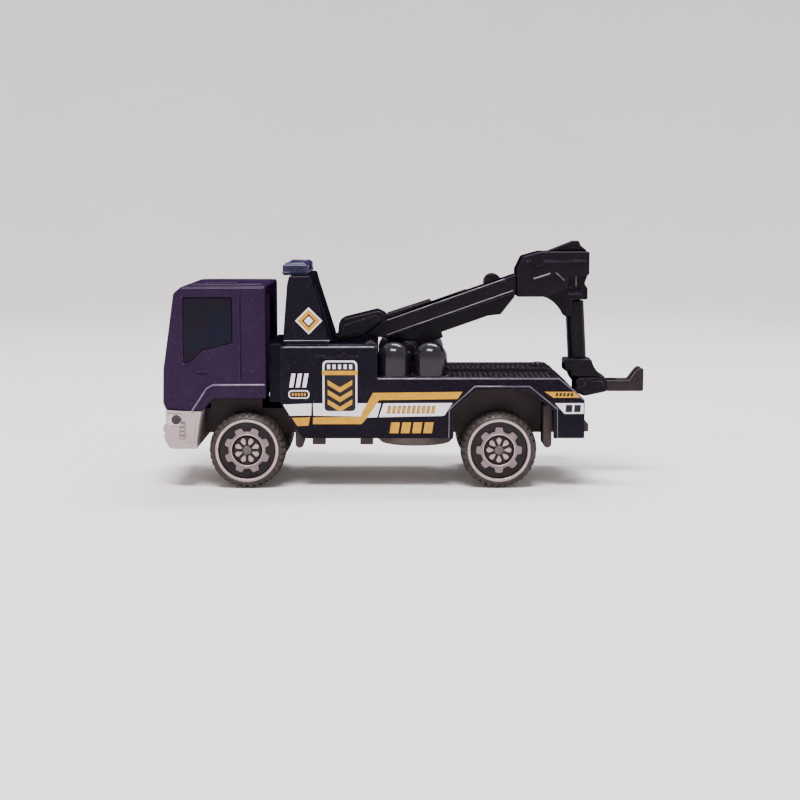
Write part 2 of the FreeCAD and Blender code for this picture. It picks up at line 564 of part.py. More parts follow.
def body_underside_core():
    top = S.bed_top_z - S.bed_skin
    wall = S.body_wall
    return [(S.body_front_x + wall, S.body_low_z - 1), (S.body_front_x + wall, top),
            (S.slope_top_x - wall, top), (S.slope_mid_x - wall, S.slope_mid_z - wall),
            (S.body_rear_x - wall, S.body_rear_top_z - wall),
            (S.body_rear_x - wall, S.body_low_z - 1)]


def rear_arch(grow, slant, foot_z):
    return [(S.rear_arch_front_x - grow, foot_z),
            (S.rear_arch_front_x - grow, S.rear_arch_knee_z + slant),
            (S.rear_arch_top_front_x - slant, S.rear_arch_top_z + grow),
            (S.rear_arch_top_rear_x + slant, S.rear_arch_top_z + grow),
            (S.rear_arch_rear_x + grow, S.rear_arch_knee_z + slant),
            (S.rear_arch_rear_x + grow, foot_z)]


def make_tow_body():
    body = new_body("tow_body")
    profile = [(S.body_front_x, S.chamfer_top_z), (S.body_front_x, S.bed_top_z),
               (S.slope_top_x, S.bed_top_z), (S.slope_mid_x, S.slope_mid_z),
               (S.body_rear_x, S.body_rear_top_z), (S.body_rear_x, S.body_low_z),
               (S.chamfer_low_x, S.body_low_z)]
    slab(body, "XZ_Plane", profile, -S.body_half_width, S.body_half_width)
    locker = box(S.body_front_x, S.locker_rear_x, S.chamfer_top_z, S.locker_top_z)
    both_sides(slab, body, "XZ_Plane", locker, S.locker_inner_y, S.body_half_width)
    bulkhead = box(S.body_front_x, S.bulkhead_rear_x, S.chamfer_top_z, S.locker_top_z)
    slab(body, "XZ_Plane", bulkhead, -S.locker_inner_y, S.locker_inner_y)
    round_edges(body, S.locker_round, lambda edge, middle: (
        near(middle.z, S.locker_top_z) and near(abs(middle.y), S.body_half_width)))
    neck = box(S.neck_front_x, S.body_front_x + S.body_wall, S.chamfer_top_z, S.locker_top_z)
    slab(body, "XZ_Plane", neck, -S.neck_half, S.neck_half)
    neck_core = box(S.neck_front_x + S.body_wall, S.body_front_x, S.chamfer_top_z - 1,
                    S.locker_top_z - S.body_wall)
    neck_core_half = S.neck_half - S.body_wall
    cut_slab(body, "XZ_Plane", neck_core, -neck_core_half, neck_core_half)
    lip = rear_arch(S.arch_lip, S.arch_lip_slant, S.body_low_z)
    both_sides(slab, body, "XZ_Plane", lip, S.body_half_width - S.body_wall,
               S.lip_half_width)
    core_half = S.body_half_width - S.body_wall
    cut_slab(body, "XZ_Plane", body_underside_core(), -core_half, core_half)
    locker_core = box(S.body_front_x + S.body_wall, S.locker_rear_x - S.body_wall,
                      S.chamfer_top_z, S.locker_top_z - S.body_wall)
    both_sides(cut_slab, body, "XZ_Plane", locker_core, S.locker_inner_y + S.body_wall,
               core_half)
    bulkhead_core = box(S.body_front_x + S.body_wall, S.bulkhead_rear_x - S.body_wall,
                        S.chamfer_top_z, S.locker_top_z - S.body_wall)
    cut_slab(body, "XZ_Plane", bulkhead_core, -core_half, core_half)
    both_sides(cut_slab, body, "XZ_Plane", rear_arch(0, 0, S.body_low_z - 1),
               S.locker_inner_y, S.lip_half_width + 1)
    deck_floor = S.bed_top_z - S.deck_thick
    cut_slab(body, "XY_Plane", deck_outline(0), deck_floor, S.bed_top_z + 1)
    notch = box(S.notch_front_x, S.body_rear_x + 1, S.notch_low_z, S.bed_top_z)
    cut_slab(body, "XZ_Plane", notch, -S.notch_half, S.notch_half)
    tail = box(S.body_rear_x - S.body_wall * 2, S.body_rear_x + 1, S.body_low_z - 1,
               S.tail_cut_z)
    cut_slab(body, "XZ_Plane", tail, -S.tail_cut_half, S.tail_cut_half)
    both_sides(cut_slab, body, "XZ_Plane",
               box(S.cap_x - S.cap_radius, S.locker_rear_x + 1, S.cap_z - S.cap_radius,
                   S.locker_top_z + 1), S.cap_inner_y, S.cap_outer_y)
    for post_x in (S.post_one_x, S.post_two_x):
        slab(body, "XY_Plane", ((post_x, 0), S.post_radius),
             S.beam_low_z + S.base_wall, deck_floor)
        cut_slab(body, "XY_Plane", ((post_x, 0), S.rivet_shank), S.beam_low_z,
                 S.rivet_top_z)


# ---------- deck and what stands on it ----------

def deck_outline(shrink):
    """The deck from above: narrow between the lockers, wide behind them."""
    narrow = S.locker_inner_y - shrink
    wide = S.deck_half_width - shrink
    front = S.bulkhead_rear_x + shrink
    step = S.locker_rear_x + shrink
    rear = S.deck_rear_x - shrink
    return [(front, -narrow), (step, -narrow), (step, -wide), (rear, -wide),
            (rear, wide), (step, wide), (step, narrow), (front, narrow)]


def make_deck_plate():
    body = new_body("deck_plate")
    slab(body, "XY_Plane", deck_outline(S.glass_fit), S.bed_top_z - S.deck_thick,
         S.bed_top_z)
    band = box(S.bulkhead_rear_x + S.deck_thick, S.deck_rear_x - S.glass_fit,
               S.bed_top_z - S.deck_thick, S.bed_top_z + S.band_rise)
    slab(body, "XZ_Plane", band, -S.band_half, S.band_half)


def make_deck_stud():
    body = new_body("deck_stud")
    slab(body, "XY_Plane", ((S.stud_x, 0), S.stud_radius), S.bed_top_z + S.band_rise,
         S.stud_top_z)
    round_edges(body, S.stud_round, lambda edge, middle: (
        near(middle.z, S.stud_top_z)))


def make_dome(name, dome_x, side):
    body = new_body(name, (dome_x, S.dome_y * side, 0))
    slab(body, "XY_Plane", ((0, 0), S.dome_radius), S.bed_top_z, S.dome_top_z)
    round_edges(body, S.dome_round, lambda edge, middle: near(middle.z, S.dome_top_z))


def make_ribbed_cap(name, side):
    body = new_body("ribbed_cap_" + name)
    low, high = (S.cap_inner_y, S.cap_outer_y)
    if side < 0:
        low, high = -high, -low
    slab(body, "XZ_Plane", ((S.cap_x, S.cap_z), S.cap_radius), low, high)


def make_tower():
    body = new_body("tower")
    profile = [(S.tower_front_x, S.locker_top_z), (S.tower_knee_x, S.tower_knee_z),
               (S.tower_top_front_x, S.tower_top_z), (S.tower_top_rear_x, S.tower_top_z),
               (S.tower_neck_x, S.tower_neck_z), (S.tower_rear_x, S.locker_top_z)]
    slab(body, "XZ_Plane", profile, -S.tower_half, S.tower_half)
    wall = S.tower_wall
    core = [(S.tower_front_x + wall, S.locker_top_z - 1),
            (S.tower_knee_x + wall, S.tower_knee_z),
            (S.tower_neck_x - wall, S.tower_neck_z),
            (S.tower_rear_x - wall, S.locker_top_z - 1)]
    cut_slab(body, "XZ_Plane", core, -(S.tower_half - wall), S.tower_half - wall)


def make_light_bar():
    body = new_body("light_bar")
    profile = box(S.light_front_x, S.light_rear_x, S.tower_top_z, S.light_top_z)
    slab(body, "XZ_Plane", profile, -S.light_half, S.light_half)
    round_edges(body, S.light_round, lambda edge, middle: near(middle.z, S.light_top_z))


def make_boom_bracket():
    body = new_body("boom_bracket")
    floor = S.bed_top_z
    ear = [(S.ear_foot_front_x, floor), (S.ear_foot_front_x, S.ear_shoulder_z),
           (S.pivot_x - S.ear_radius, S.pivot_z),
           (S.pivot_x - S.ear_crown_half, S.pivot_z + S.ear_crown_rise),
           (S.pivot_x + S.ear_crown_half, S.pivot_z + S.ear_crown_rise),
           (S.pivot_x + S.ear_radius, S.pivot_z), (S.stop_rear_x, floor + S.band_rise),
           (S.stop_rear_x, floor)]
    both_sides(slab, body, "XZ_Plane", ear, S.band_half, S.ear_outer_y)
    bridge = box(S.stop_front_x, S.stop_rear_x, floor + S.band_rise, S.stop_top_z)
    slab(body, "XZ_Plane", bridge, -S.ear_outer_y, S.ear_outer_y)
    cut_slab(body, "XZ_Plane", ((S.pivot_x, S.pivot_z), S.pin_radius), -S.ear_outer_y - 1,
             S.ear_outer_y + 1)


def make_boom_pin():
    body = new_body("boom_pin")
    slab(body, "XZ_Plane", ((S.pivot_x, S.pivot_z), S.pin_radius), -S.pin_half, S.pin_half)


# ---------- boom, in its own inclined frame ----------

def along_boom(x, v):
    """How far up the boom a point lies that has world X and boom height v."""
    turn = math.radians(SIZES["incline"])
    value = (x.value - SIZES["pivot_x"]) / math.cos(turn) + v.value * math.tan(turn)
    text = (f"(({x.text} - Sizes.pivot_x) / cos(Sizes.incline * 1 deg)"
            f" + {v.text} * tan(Sizes.incline * 1 deg))")
    return Dim(value, text)


def boom_body(label):
    return new_body(label, (S.pivot_x, 0, S.pivot_z), -S.incline)


def make_boom_beam():
    body = boom_body("boom_beam")
    end_x = S.head_front_x - S.end_gap
    end_top = along_boom(end_x, S.beam_side_top)
    end_low = along_boom(end_x, S.beam_side_low)
    sides = [(S.beam_tip_u, S.beam_tip_v), (S.beam_top_start, S.beam_side_top),
             (end_top, S.beam_side_top), (end_low, S.beam_side_low),
             (S.beam_side_start, S.beam_side_low)]
    slab(body, "XZ_Plane", sides, -S.beam_half, S.beam_half)
    belly = [(S.belly_start_u, S.beam_side_low), (S.belly_start_u, S.belly_low),
             (S.belly_step_u, S.belly_low), (S.belly_step_u, S.belly_line),
             (S.belly_drop_u, S.belly_line), (S.belly_foot_u, S.belly_foot_v),
             (S.belly_end_u, S.belly_end_v), (end_low, S.beam_side_low)]
    slab(body, "XZ_Plane", belly, -S.belly_half, S.belly_half)
    slab(body, "XZ_Plane", ((0, 0), S.lug_radius), -S.belly_half, S.belly_half)
    cut_slab(body, "XZ_Plane", ((0, 0), S.pin_bore), -S.beam_half, S.beam_half)
    slot_end = along_boom(S.head_front_x, S.slot_high) + 1
    slot = box(S.slot_start, slot_end, S.slot_low, S.slot_high)
    cut_slab(body, "XZ_Plane", slot, -S.slot_half, S.slot_half)


def make_winch_housing():
    body = boom_body("winch_housing")
    profile = [(S.winch_low_u, S.winch_low_v), (S.winch_brow_u, S.winch_brow_v),
               (S.winch_crown_u, S.winch_crown_v), (S.winch_back_u, S.winch_back_v),
               (S.winch_end_u, S.winch_end_v), (S.winch_end_u, S.beam_side_top),
               (S.beam_top_start, S.beam_side_top), (S.beam_tip_u, S.beam_tip_v)]
    slab(body, "XZ_Plane", profile, -S.winch_half, S.winch_half)
    round_edges(body, S.light_round, lambda edge, middle: (
        middle.x < SIZES["winch_back_u"] - 1 and edge.BoundBox.YLength > 1
        and not near(middle.z, S.beam_tip_v)))


def make_boom_top_plate():
    body = boom_body("boom_top_plate")
    profile = [(S.winch_end_u, S.beam_side_top), (S.winch_end_u, S.cover_top),
               (S.cover_step_u, S.cover_step_v), (S.cover_step_u, S.cover_low),
               (S.cover_end_u, S.cover_low), (S.cover_end_u, S.beam_side_top)]
    slab(body, "XZ_Plane", profile, -S.cover_half, S.cover_half)


def make_boom_knob():
    """A half-round knob: a disc cut off level with the top of the boom."""
    body = boom_body("boom_knob")
    slab(body, "XZ_Plane", ((S.knob_u, S.beam_side_top), S.knob_radius), -S.knob_half,
         S.knob_half)
    below = box(S.knob_u - S.knob_radius * 2, S.knob_u + S.knob_radius * 2,
                S.beam_side_top - S.knob_radius * 2, S.beam_side_top)
    cut_slab(body, "XZ_Plane", below, -S.knob_half, S.knob_half)


def make_boom_inner():
    body = boom_body("boom_inner")
    profile = [(S.inner_start, S.inner_low),
               (along_boom(S.head_front_x, S.inner_low), S.inner_low),
               (along_boom(S.head_front_x, S.inner_high), S.inner_high),
               (S.inner_start, S.inner_high)]
    slab(body, "XZ_Plane", profile, -S.inner_half, S.inner_half)


# ---------- boom head ----------

def rod_bore(body, radius, low, high):
    """Cuts a round hole along the drop arm's leaning axis."""
    lean = FreeCAD.Rotation(FreeCAD.Vector(0, 1, 0), -SIZES["arm_lean"])
    foot = FreeCAD.Vector(SIZES["arm_x"], 0, SIZES["arm_z"])
    start = foot + lean.multVec(FreeCAD.Vector(0, 0, value_of(low)))
    before = body.Shape.Volume
    feature = body.newObject("PartDesign::SubtractiveCylinder", body.Label + "_bore")
    feature.Placement = FreeCAD.Placement(start, lean)
    feature.setExpression("Radius", text_of(radius))
    feature.setExpression("Height", text_of(high - low))
    doc.recompute()
    if not body.Shape.Volume < before:
        raise RuntimeError(f"the bore in {body.Label} removes nothing")


def make_boom_head():
    body = new_body("boom_head")
    block = [(S.head_front_x, S.head_low_z), (S.head_front_x, S.head_side_z),
             (S.head_step_x, S.head_step_z), (S.head_crown_x, S.head_top_z),
             (S.head_rear_x, S.head_top_z), (S.head_rear_x, S.head_rear_z),
             (S.head_window_x, S.head_window_high), (S.head_window_x, S.head_window_low),
             (S.head_arch_x, S.head_low_z)]
    slab(body, "XZ_Plane", block, -S.head_half, S.head_half)
    web_start = (S.head_arch_x, S.head_low_z)
    web_foot = (S.web_foot_x, S.web_foot_z)
    web = [web_start, (S.head_window_x, S.head_window_low),
           (S.strut_x, S.head_window_low), (S.strut_x, S.web_knee_z),
           (S.arm_x - S.rod_neck, S.web_knee_z), (S.arm_x - S.rod_neck, S.web_foot_z)]
    web_curve = bow(web_foot, web_start, (S.web_bow_x, S.web_bow_z))
    slab(body, "XZ_Plane", web + [web_foot] + web_curve, -S.web_half, S.web_half)
    strut = [(S.strut_x, S.web_knee_z), (S.strut_x, S.head_rear_z),
             (S.head_rear_x, S.head_rear_z), (S.strut_waist_x, S.strut_waist_z),
             (S.head_rear_x, S.head_window_low), (S.head_rear_x, S.web_knee_z)]
    slab(body, "XZ_Plane", strut, -S.web_half, S.web_half)
    slab(body, "XY_Plane", ((S.collar_x, 0), S.collar_radius), S.web_knee_z,
         S.head_window_low)
    rod_bore(body, S.rod_clear, S.rod_entry, S.rod_top + S.slot_gap)
    rod_bore(body, S.socket_bore, S.rod_top, S.rod_cap_low)
    cheek = box(S.head_window_x, S.strut_x, S.head_window_low, S.head_rear_z)
    both_sides(slab, body, "XZ_Plane", cheek, S.rod_cap + S.slot_gap, S.web_half)


def make_head_knob(name, side):
    body = new_body("head_knob_" + name)
    low, high = (S.knob_two_inner, S.knob_two_outer)
    if side < 0:
        low, high = -high, -low
    slab(body, "XZ_Plane", ((S.knob_two_x, S.knob_two_z), S.knob_two_radius), low, high)


def make_head_horn():
    body = new_body("head_horn")
    profile = [(S.horn_front_x, S.head_top_z), (S.horn_peak_x, S.horn_top_z),
               (S.horn_rear_x, S.horn_top_z), (S.horn_drop_x, S.horn_drop_z),
               (S.head_rear_x, S.head_top_z)]
    slab(body, "XZ_Plane", profile, -S.horn_half, S.horn_half)


# ---------- drop arm and fork ----------

def make_drop_rod():
    body = new_body("drop_rod", (S.arm_x, 0, S.arm_z), -S.arm_lean)
    profile = [(0, S.rod_foot), (S.rod_radius, S.rod_foot), (S.rod_radius, S.rod_top),
               (S.rod_neck, S.rod_top), (S.rod_neck, S.rod_cap_low),
               (S.rod_cap, S.rod_cap_low), (S.rod_cap, S.rod_cap_top), (0, S.rod_cap_top)]
    revolve(body, "XZ_Plane", profile, "V_Axis")


def make_lower_bracket():
    body = new_body("lower_bracket")
    gusset_top = (S.foot_right_x, S.arm_z)
    gusset_tip = (S.foot_tip_x, S.foot_base_z)
    gusset = bow(gusset_top, gusset_tip, (S.foot_bow_x, S.foot_bow_z))
    profile = [(S.foot_left_x, S.foot_band_z), (S.foot_left_x, S.arm_z), gusset_top]
    profile += gusset
    profile += [gusset_tip, (S.foot_heel_x, S.foot_base_z), (S.foot_heel_x, S.foot_band_z)]
    slab(body, "XZ_Plane", profile, -S.foot_half, S.foot_half)
    tongue = [(S.foot_heel_x, S.foot_base_z), (S.fold_x - S.fold_lug, S.fold_z),
              (S.fold_x - S.lug_corner, S.fold_z - S.lug_corner),
              (S.fold_x + S.lug_corner, S.fold_z - S.lug_corner),
              (S.fold_x + S.fold_lug, S.foot_base_z)]
    slab(body, "XZ_Plane", tongue, -S.tongue_half, S.tongue_half)
    cut_slab(body, "XZ_Plane", ((S.fold_x, S.fold_z), S.fold_pin), -S.foot_half,
             S.foot_half)


def make_hook_pin():
    body = new_body("hook_pin")
    slab(body, "XZ_Plane", ((S.fold_x, S.fold_z), S.fold_pin), -S.carrier_half,
         S.carrier_half)


def make_hook_carrier():
    body = new_body("hook_carrier")
    top = S.foot_base_z - S.slot_gap
    profile = [(S.carrier_left_x, S.fold_z + S.slot_gap), (S.carrier_rise_x, top),
               (S.carrier_right_x, top), (S.carrier_right_x, S.carrier_low_z),
               (S.carrier_heel_x, S.carrier_heel_z), (S.carrier_left_x, S.carrier_low_z)]
    slab(body, "XZ_Plane", profile, -S.carrier_half, S.carrier_half)
    slot = box(S.carrier_left_x - 1, S.carrier_slot_x, S.carrier_low_z, top + 1)
    slot_half = S.tongue_half + S.slot_gap
    cut_slab(body, "XZ_Plane", slot, -slot_half, slot_half)
    cut_slab(body, "XZ_Plane", ((S.fold_x, S.fold_z), S.fold_bore), -S.foot_half,
             S.foot_half)
    socket = box(S.fork_tenon_x, S.carrier_right_x + 1, S.fork_tenon_low,
                 S.fork_tenon_high)
    cut_slab(body, "XZ_Plane", socket, -S.fork_tenon_half, S.fork_tenon_half)


def make_tow_fork():
    body = new_body("tow_fork")
    profile = [(S.carrier_right_x, S.fork_low_z), (S.carrier_right_x, S.fork_top_z),
               (S.fork_rise_x, S.fork_top_z), (S.fork_crook_x, S.fork_crook_z),
               (S.fork_tip_left_x, S.fork_tip_z), (S.fork_tip_x, S.fork_tip_z),
               (S.fork_tip_x, S.fork_low_z)]
    slab(body, "XZ_Plane", profile, -S.fork_half, S.fork_half)
    tenon = box(S.fork_tenon_x, S.carrier_right_x, S.fork_tenon_low, S.fork_tenon_high)
    slab(body, "XZ_Plane", tenon, -S.fork_tenon_half, S.fork_tenon_half)
    slot = box(S.fork_slot_x, S.fork_tip_x + 1, S.fork_low_z - 1, S.fork_tip_z + 1)
    cut_slab(body, "XZ_Plane", slot, -S.fork_slot_half, S.fork_slot_half)
    round_edges(body, S.fork_round, lambda edge, middle: (
        middle.x > SIZES["fork_crook_x"] and edge.BoundBox.YLength > 1))


# ---------- assembly ----------

make_cab_shell()
make_cab_glazing()
make_front_bumper()
for side_name, side in SIDES.items():
    make_headlight(side_name, side)
make_chassis_base()
make_chassis_rivets()
make_spare_wheel()
for axle_name, axle_x in (("front", S.front_axle_x), ("rear", S.rear_axle_x)):
    make_axle(axle_name + "_axle", axle_x)
    for side_name, side in SIDES.items():
        make_rim(f"{axle_name}_rim_{side_name}", axle_x, side)
        make_tyre(f"{axle_name}_tyre_{side_name}", axle_x, side)
make_tow_body()
make_deck_plate()
make_deck_stud()
for side_name, side in SIDES.items():
    make_dome(f"dome_{side_name}_front", S.dome_front_x, side)
    make_dome(f"dome_{side_name}_rear", S.dome_rear_x, side)
    make_ribbed_cap(side_name, side)
make_tower()
make_light_bar()
make_boom_bracket()
make_boom_pin()
make_boom_beam()
make_winch_housing()
make_boom_top_plate()
make_boom_knob()
make_boom_inner()
make_boom_head()
for side_name, side in SIDES.items():
    make_head_knob(side_name, side)
make_head_horn()
make_drop_rod()
make_lower_bracket()
make_hook_pin()
make_hook_carrier()
make_tow_fork()
doc.recompute()

for item in doc.Objects:
    if "Invalid" in item.State or "Error" in item.State:
        raise RuntimeError(f"{item.Label} failed to build")
for part in PARTS:
    if part.Shape.isNull() or not part.Shape.isValid():
        raise RuntimeError(f"{part.Label} has no valid shape")

os.makedirs("parts", exist_ok=True)
for part in PARTS:
    part.Shape.exportStep(f"parts/{part.Label}.step")
    print(part.Label, len(part.Shape.Solids), round(part.Shape.Volume, 2))
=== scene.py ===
import json
import math
import bmesh
import bpy
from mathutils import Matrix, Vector


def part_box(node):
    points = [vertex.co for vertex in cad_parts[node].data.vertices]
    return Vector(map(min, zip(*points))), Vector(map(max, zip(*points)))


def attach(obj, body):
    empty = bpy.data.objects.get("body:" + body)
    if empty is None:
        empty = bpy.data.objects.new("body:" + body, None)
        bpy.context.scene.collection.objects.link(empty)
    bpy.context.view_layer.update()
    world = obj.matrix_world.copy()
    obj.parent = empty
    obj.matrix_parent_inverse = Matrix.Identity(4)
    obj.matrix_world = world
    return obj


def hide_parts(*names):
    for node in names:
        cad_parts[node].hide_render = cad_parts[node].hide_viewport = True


# The looks of the toy tow truck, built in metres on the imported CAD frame.
# The truck faces -X, its left side is -Y and +Z is up. Outlines are drawn in millimetres.

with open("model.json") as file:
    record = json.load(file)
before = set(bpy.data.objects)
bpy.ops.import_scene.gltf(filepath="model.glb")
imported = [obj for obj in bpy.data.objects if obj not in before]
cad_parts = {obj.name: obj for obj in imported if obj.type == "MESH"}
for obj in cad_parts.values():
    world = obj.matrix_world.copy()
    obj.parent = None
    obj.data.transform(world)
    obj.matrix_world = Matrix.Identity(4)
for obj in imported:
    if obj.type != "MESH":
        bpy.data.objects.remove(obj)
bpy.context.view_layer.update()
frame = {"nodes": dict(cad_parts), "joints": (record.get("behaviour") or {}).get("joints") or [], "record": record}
MM = 0.001
NODES = frame["nodes"]
JOINTS = {joint["name"]: joint for joint in frame["joints"]}
SIDES = {"left": -1, "right": 1}


def box_mm(name):
    """The low and the high corner of a CAD node, in millimetres."""
    return [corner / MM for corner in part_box(name)]


# ---------- materials ----------

def node(tree, kind, **settings):
    made = tree.nodes.new(kind)
    for name, value in settings.items():
        setattr(made, name, value)
    return made


def noise(tree, coords, scale, detail=2.0):
    made = node(tree, "ShaderNodeTexNoise")
    made.inputs["Scale"].default_value = scale
    made.inputs["Detail"].default_value = detail
    tree.links.new(coords, made.inputs["Vector"])
    return made.outputs["Fac"]


def spread(tree, source, low, high, to_low, to_high):
    made = node(tree, "ShaderNodeMapRange")
    for name, value in (("From Min", low), ("From Max", high),
                        ("To Min", to_low), ("To Max", to_high)):
        made.inputs[name].default_value = value
    tree.links.new(source, made.inputs["Value"])
    return made.outputs["Result"]


def colour_mix(tree, factor, first, second):
    """Mixes two colours; each is a colour or another node's output."""
    made = node(tree, "ShaderNodeMix", data_type="RGBA")
    for socket, value in ((made.inputs[6], first), (made.inputs[7], second)):
        if isinstance(value, tuple):
            socket.default_value = (*value, 1)
        else:
            tree.links.new(value, socket)
    tree.links.new(factor, made.inputs[0])
    return made.outputs[2]


def product(tree, first, second):
    made = node(tree, "ShaderNodeMath", operation="MULTIPLY")
    tree.links.new(first, made.inputs[0])
    tree.links.new(second, made.inputs[1])
    return made.outputs["Value"]


def bumped(tree, height, strength, distance, below=None):
    made = node(tree, "ShaderNodeBump")
    made.inputs["Strength"].default_value = strength
    made.inputs["Distance"].default_value = distance
    tree.links.new(height, made.inputs["Height"])
    if below is not None:
        tree.links.new(below, made.inputs["Normal"])
    return made.outputs["Normal"]


def edge_mask(tree, radius):
    """1 on sharp edges and 0 on flat faces: how far a rounded normal turns away."""
    rounded_normal = node(tree, "ShaderNodeBevel", samples=4)
    rounded_normal.inputs["Radius"].default_value = radius
    geometry = node(tree, "ShaderNodeNewGeometry")
    turned = node(tree, "ShaderNodeVectorMath", operation="DOT_PRODUCT")
    tree.links.new(rounded_normal.outputs["Normal"], turned.inputs[0])
    tree.links.new(geometry.outputs["Normal"], turned.inputs[1])
    return spread(tree, turned.outputs["Value"], 0.998, 0.93, 0.0, 1.0)


def surface(name, light, dark, rough, rough_spread=0.05, metallic=0.0, specular=0.2,
            patch_scale=260, grain_scale=2600, grain=0.05, wave_scale=0, wave=0.0,
            dust=0.0, edge_wear_and_highlight=None):
    """A mottled finish: two shades, uneven gloss, a fine grain, and if asked a slow ripple, specks of dust
    and a paler band along the edges that is partly wear and partly a painted highlight."""
    mat = bpy.data.materials.new(name)
    mat.use_nodes = True
    tree = mat.node_tree
    shader = tree.nodes["Principled BSDF"]
    coords = node(tree, "ShaderNodeTexCoord").outputs["Object"]
    patches = noise(tree, coords, patch_scale, 4.0)
    fine = noise(tree, coords, grain_scale, 3.0)
    factor = spread(tree, patches, 0.3, 0.7, 0.0, 1.0)
    colour = colour_mix(tree, factor, light, dark)
    # The paler edge band is partly wear and partly a painted highlight, standing for light caught on rounded
    # edges.
    if edge_wear_and_highlight is not None:
        wear_and_highlight_mask = product(tree, edge_mask(tree, 0.13 * MM),
                         spread(tree, noise(tree, coords, 1500), 0.36, 0.60, 0.1, 0.85))
        colour = colour_mix(tree, wear_and_highlight_mask, colour, edge_wear_and_highlight)
    if dust:
        specks = spread(tree, noise(tree, coords, 3800, 1.0), 0.76, 0.79, 0.0, dust)
        colour = colour_mix(tree, specks, colour, (0.42, 0.38, 0.38))
    tree.links.new(colour, shader.inputs["Base Color"])
    gloss = spread(tree, patches, 0.3, 0.7, rough - rough_spread, rough + rough_spread)
    tree.links.new(gloss, shader.inputs["Roughness"])
    normal = bumped(tree, fine, grain, 0.04 * MM)
    if wave_scale:
        slow = noise(tree, coords, wave_scale, 1.0)
        normal = bumped(tree, slow, wave, 0.3 * MM, normal)
    tree.links.new(normal, shader.inputs["Normal"])
    shader.inputs["Metallic"].default_value = metallic
    facing = node(tree, "ShaderNodeLayerWeight").outputs["Facing"]
    tree.links.new(spread(tree, facing, 0.45, 0.85, specular, 0.0),
                   shader.inputs["Specular IOR Level"])
    return mat


# The pale edge colours given below are partly wear and partly painted highlights.
MATERIALS = {
    "cab_paint": surface("cab_enamel", (0.0195, 0.008, 0.03), (0.0155, 0.0066, 0.025),
                         0.24, specular=0.09, wave_scale=300, wave=0.1, grain=0.03, dust=0.25,
                         edge_wear_and_highlight=(0.085, 0.065, 0.13)),
    "body_paint": surface("body_enamel", (0.006, 0.0042, 0.01), (0.0045, 0.0032, 0.0078),
                          0.26, specular=0.07, wave_scale=300, wave=0.1, grain=0.03,
                          dust=0.25, edge_wear_and_highlight=(0.075, 0.06, 0.1)),
    "dark_glazing": surface("tinted_glazing", (0.0045, 0.007, 0.017),
                            (0.013, 0.0045, 0.006), 0.09, 0.02, specular=0.07,
                            patch_scale=90,
                            wave_scale=120, wave=0.35, grain=0.01, dust=0.1),
    "bumper_plastic": surface("bumper_grey", (0.42, 0.33, 0.34), (0.36, 0.28, 0.29), 0.42,
                              specular=0.3, grain=0.12),
    "headlight_lens": surface("lamp_silver", (0.62, 0.58, 0.6), (0.3, 0.27, 0.29), 0.16,
                              metallic=0.75, specular=0.5, patch_scale=1800, grain=0.2),
    # The chassis and spare greys are far darker than the bumper grey: partly the moulding's own grey and partly
    # painted shade for the underside.
    "base_plastic": surface("base_grey_with_painted_shade", (0.042, 0.027, 0.028), (0.03, 0.02, 0.021), 0.5,
                            grain=0.15, dust=0.2),
    "pin_steel": surface("pin_black", (0.03, 0.025, 0.03), (0.018, 0.015, 0.018), 0.35,
                         metallic=0.5, grain=0.1),
    "spare_plastic": surface("spare_grey_with_painted_shade", (0.165, 0.125, 0.12), (0.13, 0.1, 0.095), 0.5,
                             specular=0.25, grain=0.15),
    "rivet_steel": surface("rivet_steel", (0.5, 0.47, 0.46), (0.36, 0.34, 0.33), 0.35,
                           metallic=1.0, grain=0.1, patch_scale=900),
    "axle_steel": surface("axle_steel", (0.14, 0.125, 0.12), (0.08, 0.07, 0.07), 0.4,
                          metallic=0.9, grain=0.15, patch_scale=900),
    "rim_plastic": surface("rim_black", (0.012, 0.007, 0.0085), (0.009, 0.0055, 0.0065),
                           0.3),
    "tyre_rubber": surface("tyre_black", (0.03, 0.022, 0.022), (0.018, 0.014, 0.014), 0.45,
                           specular=0.25, grain=0.25, grain_scale=4200, dust=0.15,
                           edge_wear_and_highlight=(0.075, 0.06, 0.06)),
    "deck_plastic": surface("deck_black", (0.013, 0.009, 0.0135), (0.0085, 0.006, 0.0095),
                            0.24, specular=0.25, grain=0.08, dust=0.25,
                            edge_wear_and_highlight=(0.075, 0.06, 0.075)),
    "dome_plastic": surface("dome_black", (0.009, 0.007, 0.0125), (0.0065, 0.005, 0.0095),
                            0.13, 0.02, specular=0.35, grain=0.02, dust=0.15),
    "beacon_plastic": surface("beacon_blue", (0.019, 0.016, 0.055), (0.013, 0.011, 0.04),
                              0.15, 0.03, specular=0.25, grain=0.03),
    "boom_plastic": surface("boom_black", (0.0062, 0.0042, 0.0082), (0.0045, 0.0032, 0.0062),
                            0.22, specular=0.09, grain=0.06, wave_scale=260, wave=0.12,
                            dust=0.15, edge_wear_and_highlight=(0.12, 0.095, 0.15)),
    "fork_plastic": surface("fork_black", (0.012, 0.0062, 0.0078), (0.0085, 0.0046, 0.0058),
                            0.27, grain=0.06, dust=0.2,
                            edge_wear_and_highlight=(0.085, 0.06, 0.07)),
}
SILVER = surface("stamped_silver", (0.24, 0.18, 0.195), (0.16, 0.12, 0.13), 0.34,
                 metallic=0.6, patch_scale=1400, grain=0.3, grain_scale=5200)
SILVER_BRIGHT = surface("stamped_silver_edge", (0.46, 0.35, 0.35), (0.34, 0.26, 0.26), 0.28,
                        metallic=0.6, patch_scale=1400, grain=0.2)
WHITE = surface("print_white", (0.78, 0.75, 0.8), (0.7, 0.67, 0.73), 0.42, specular=0.3,
                grain=0.05, patch_scale=900)
GOLD = surface("print_gold", (0.56, 0.29, 0.018), (0.46, 0.23, 0.013), 0.38,
               specular=0.15, patch_scale=900)
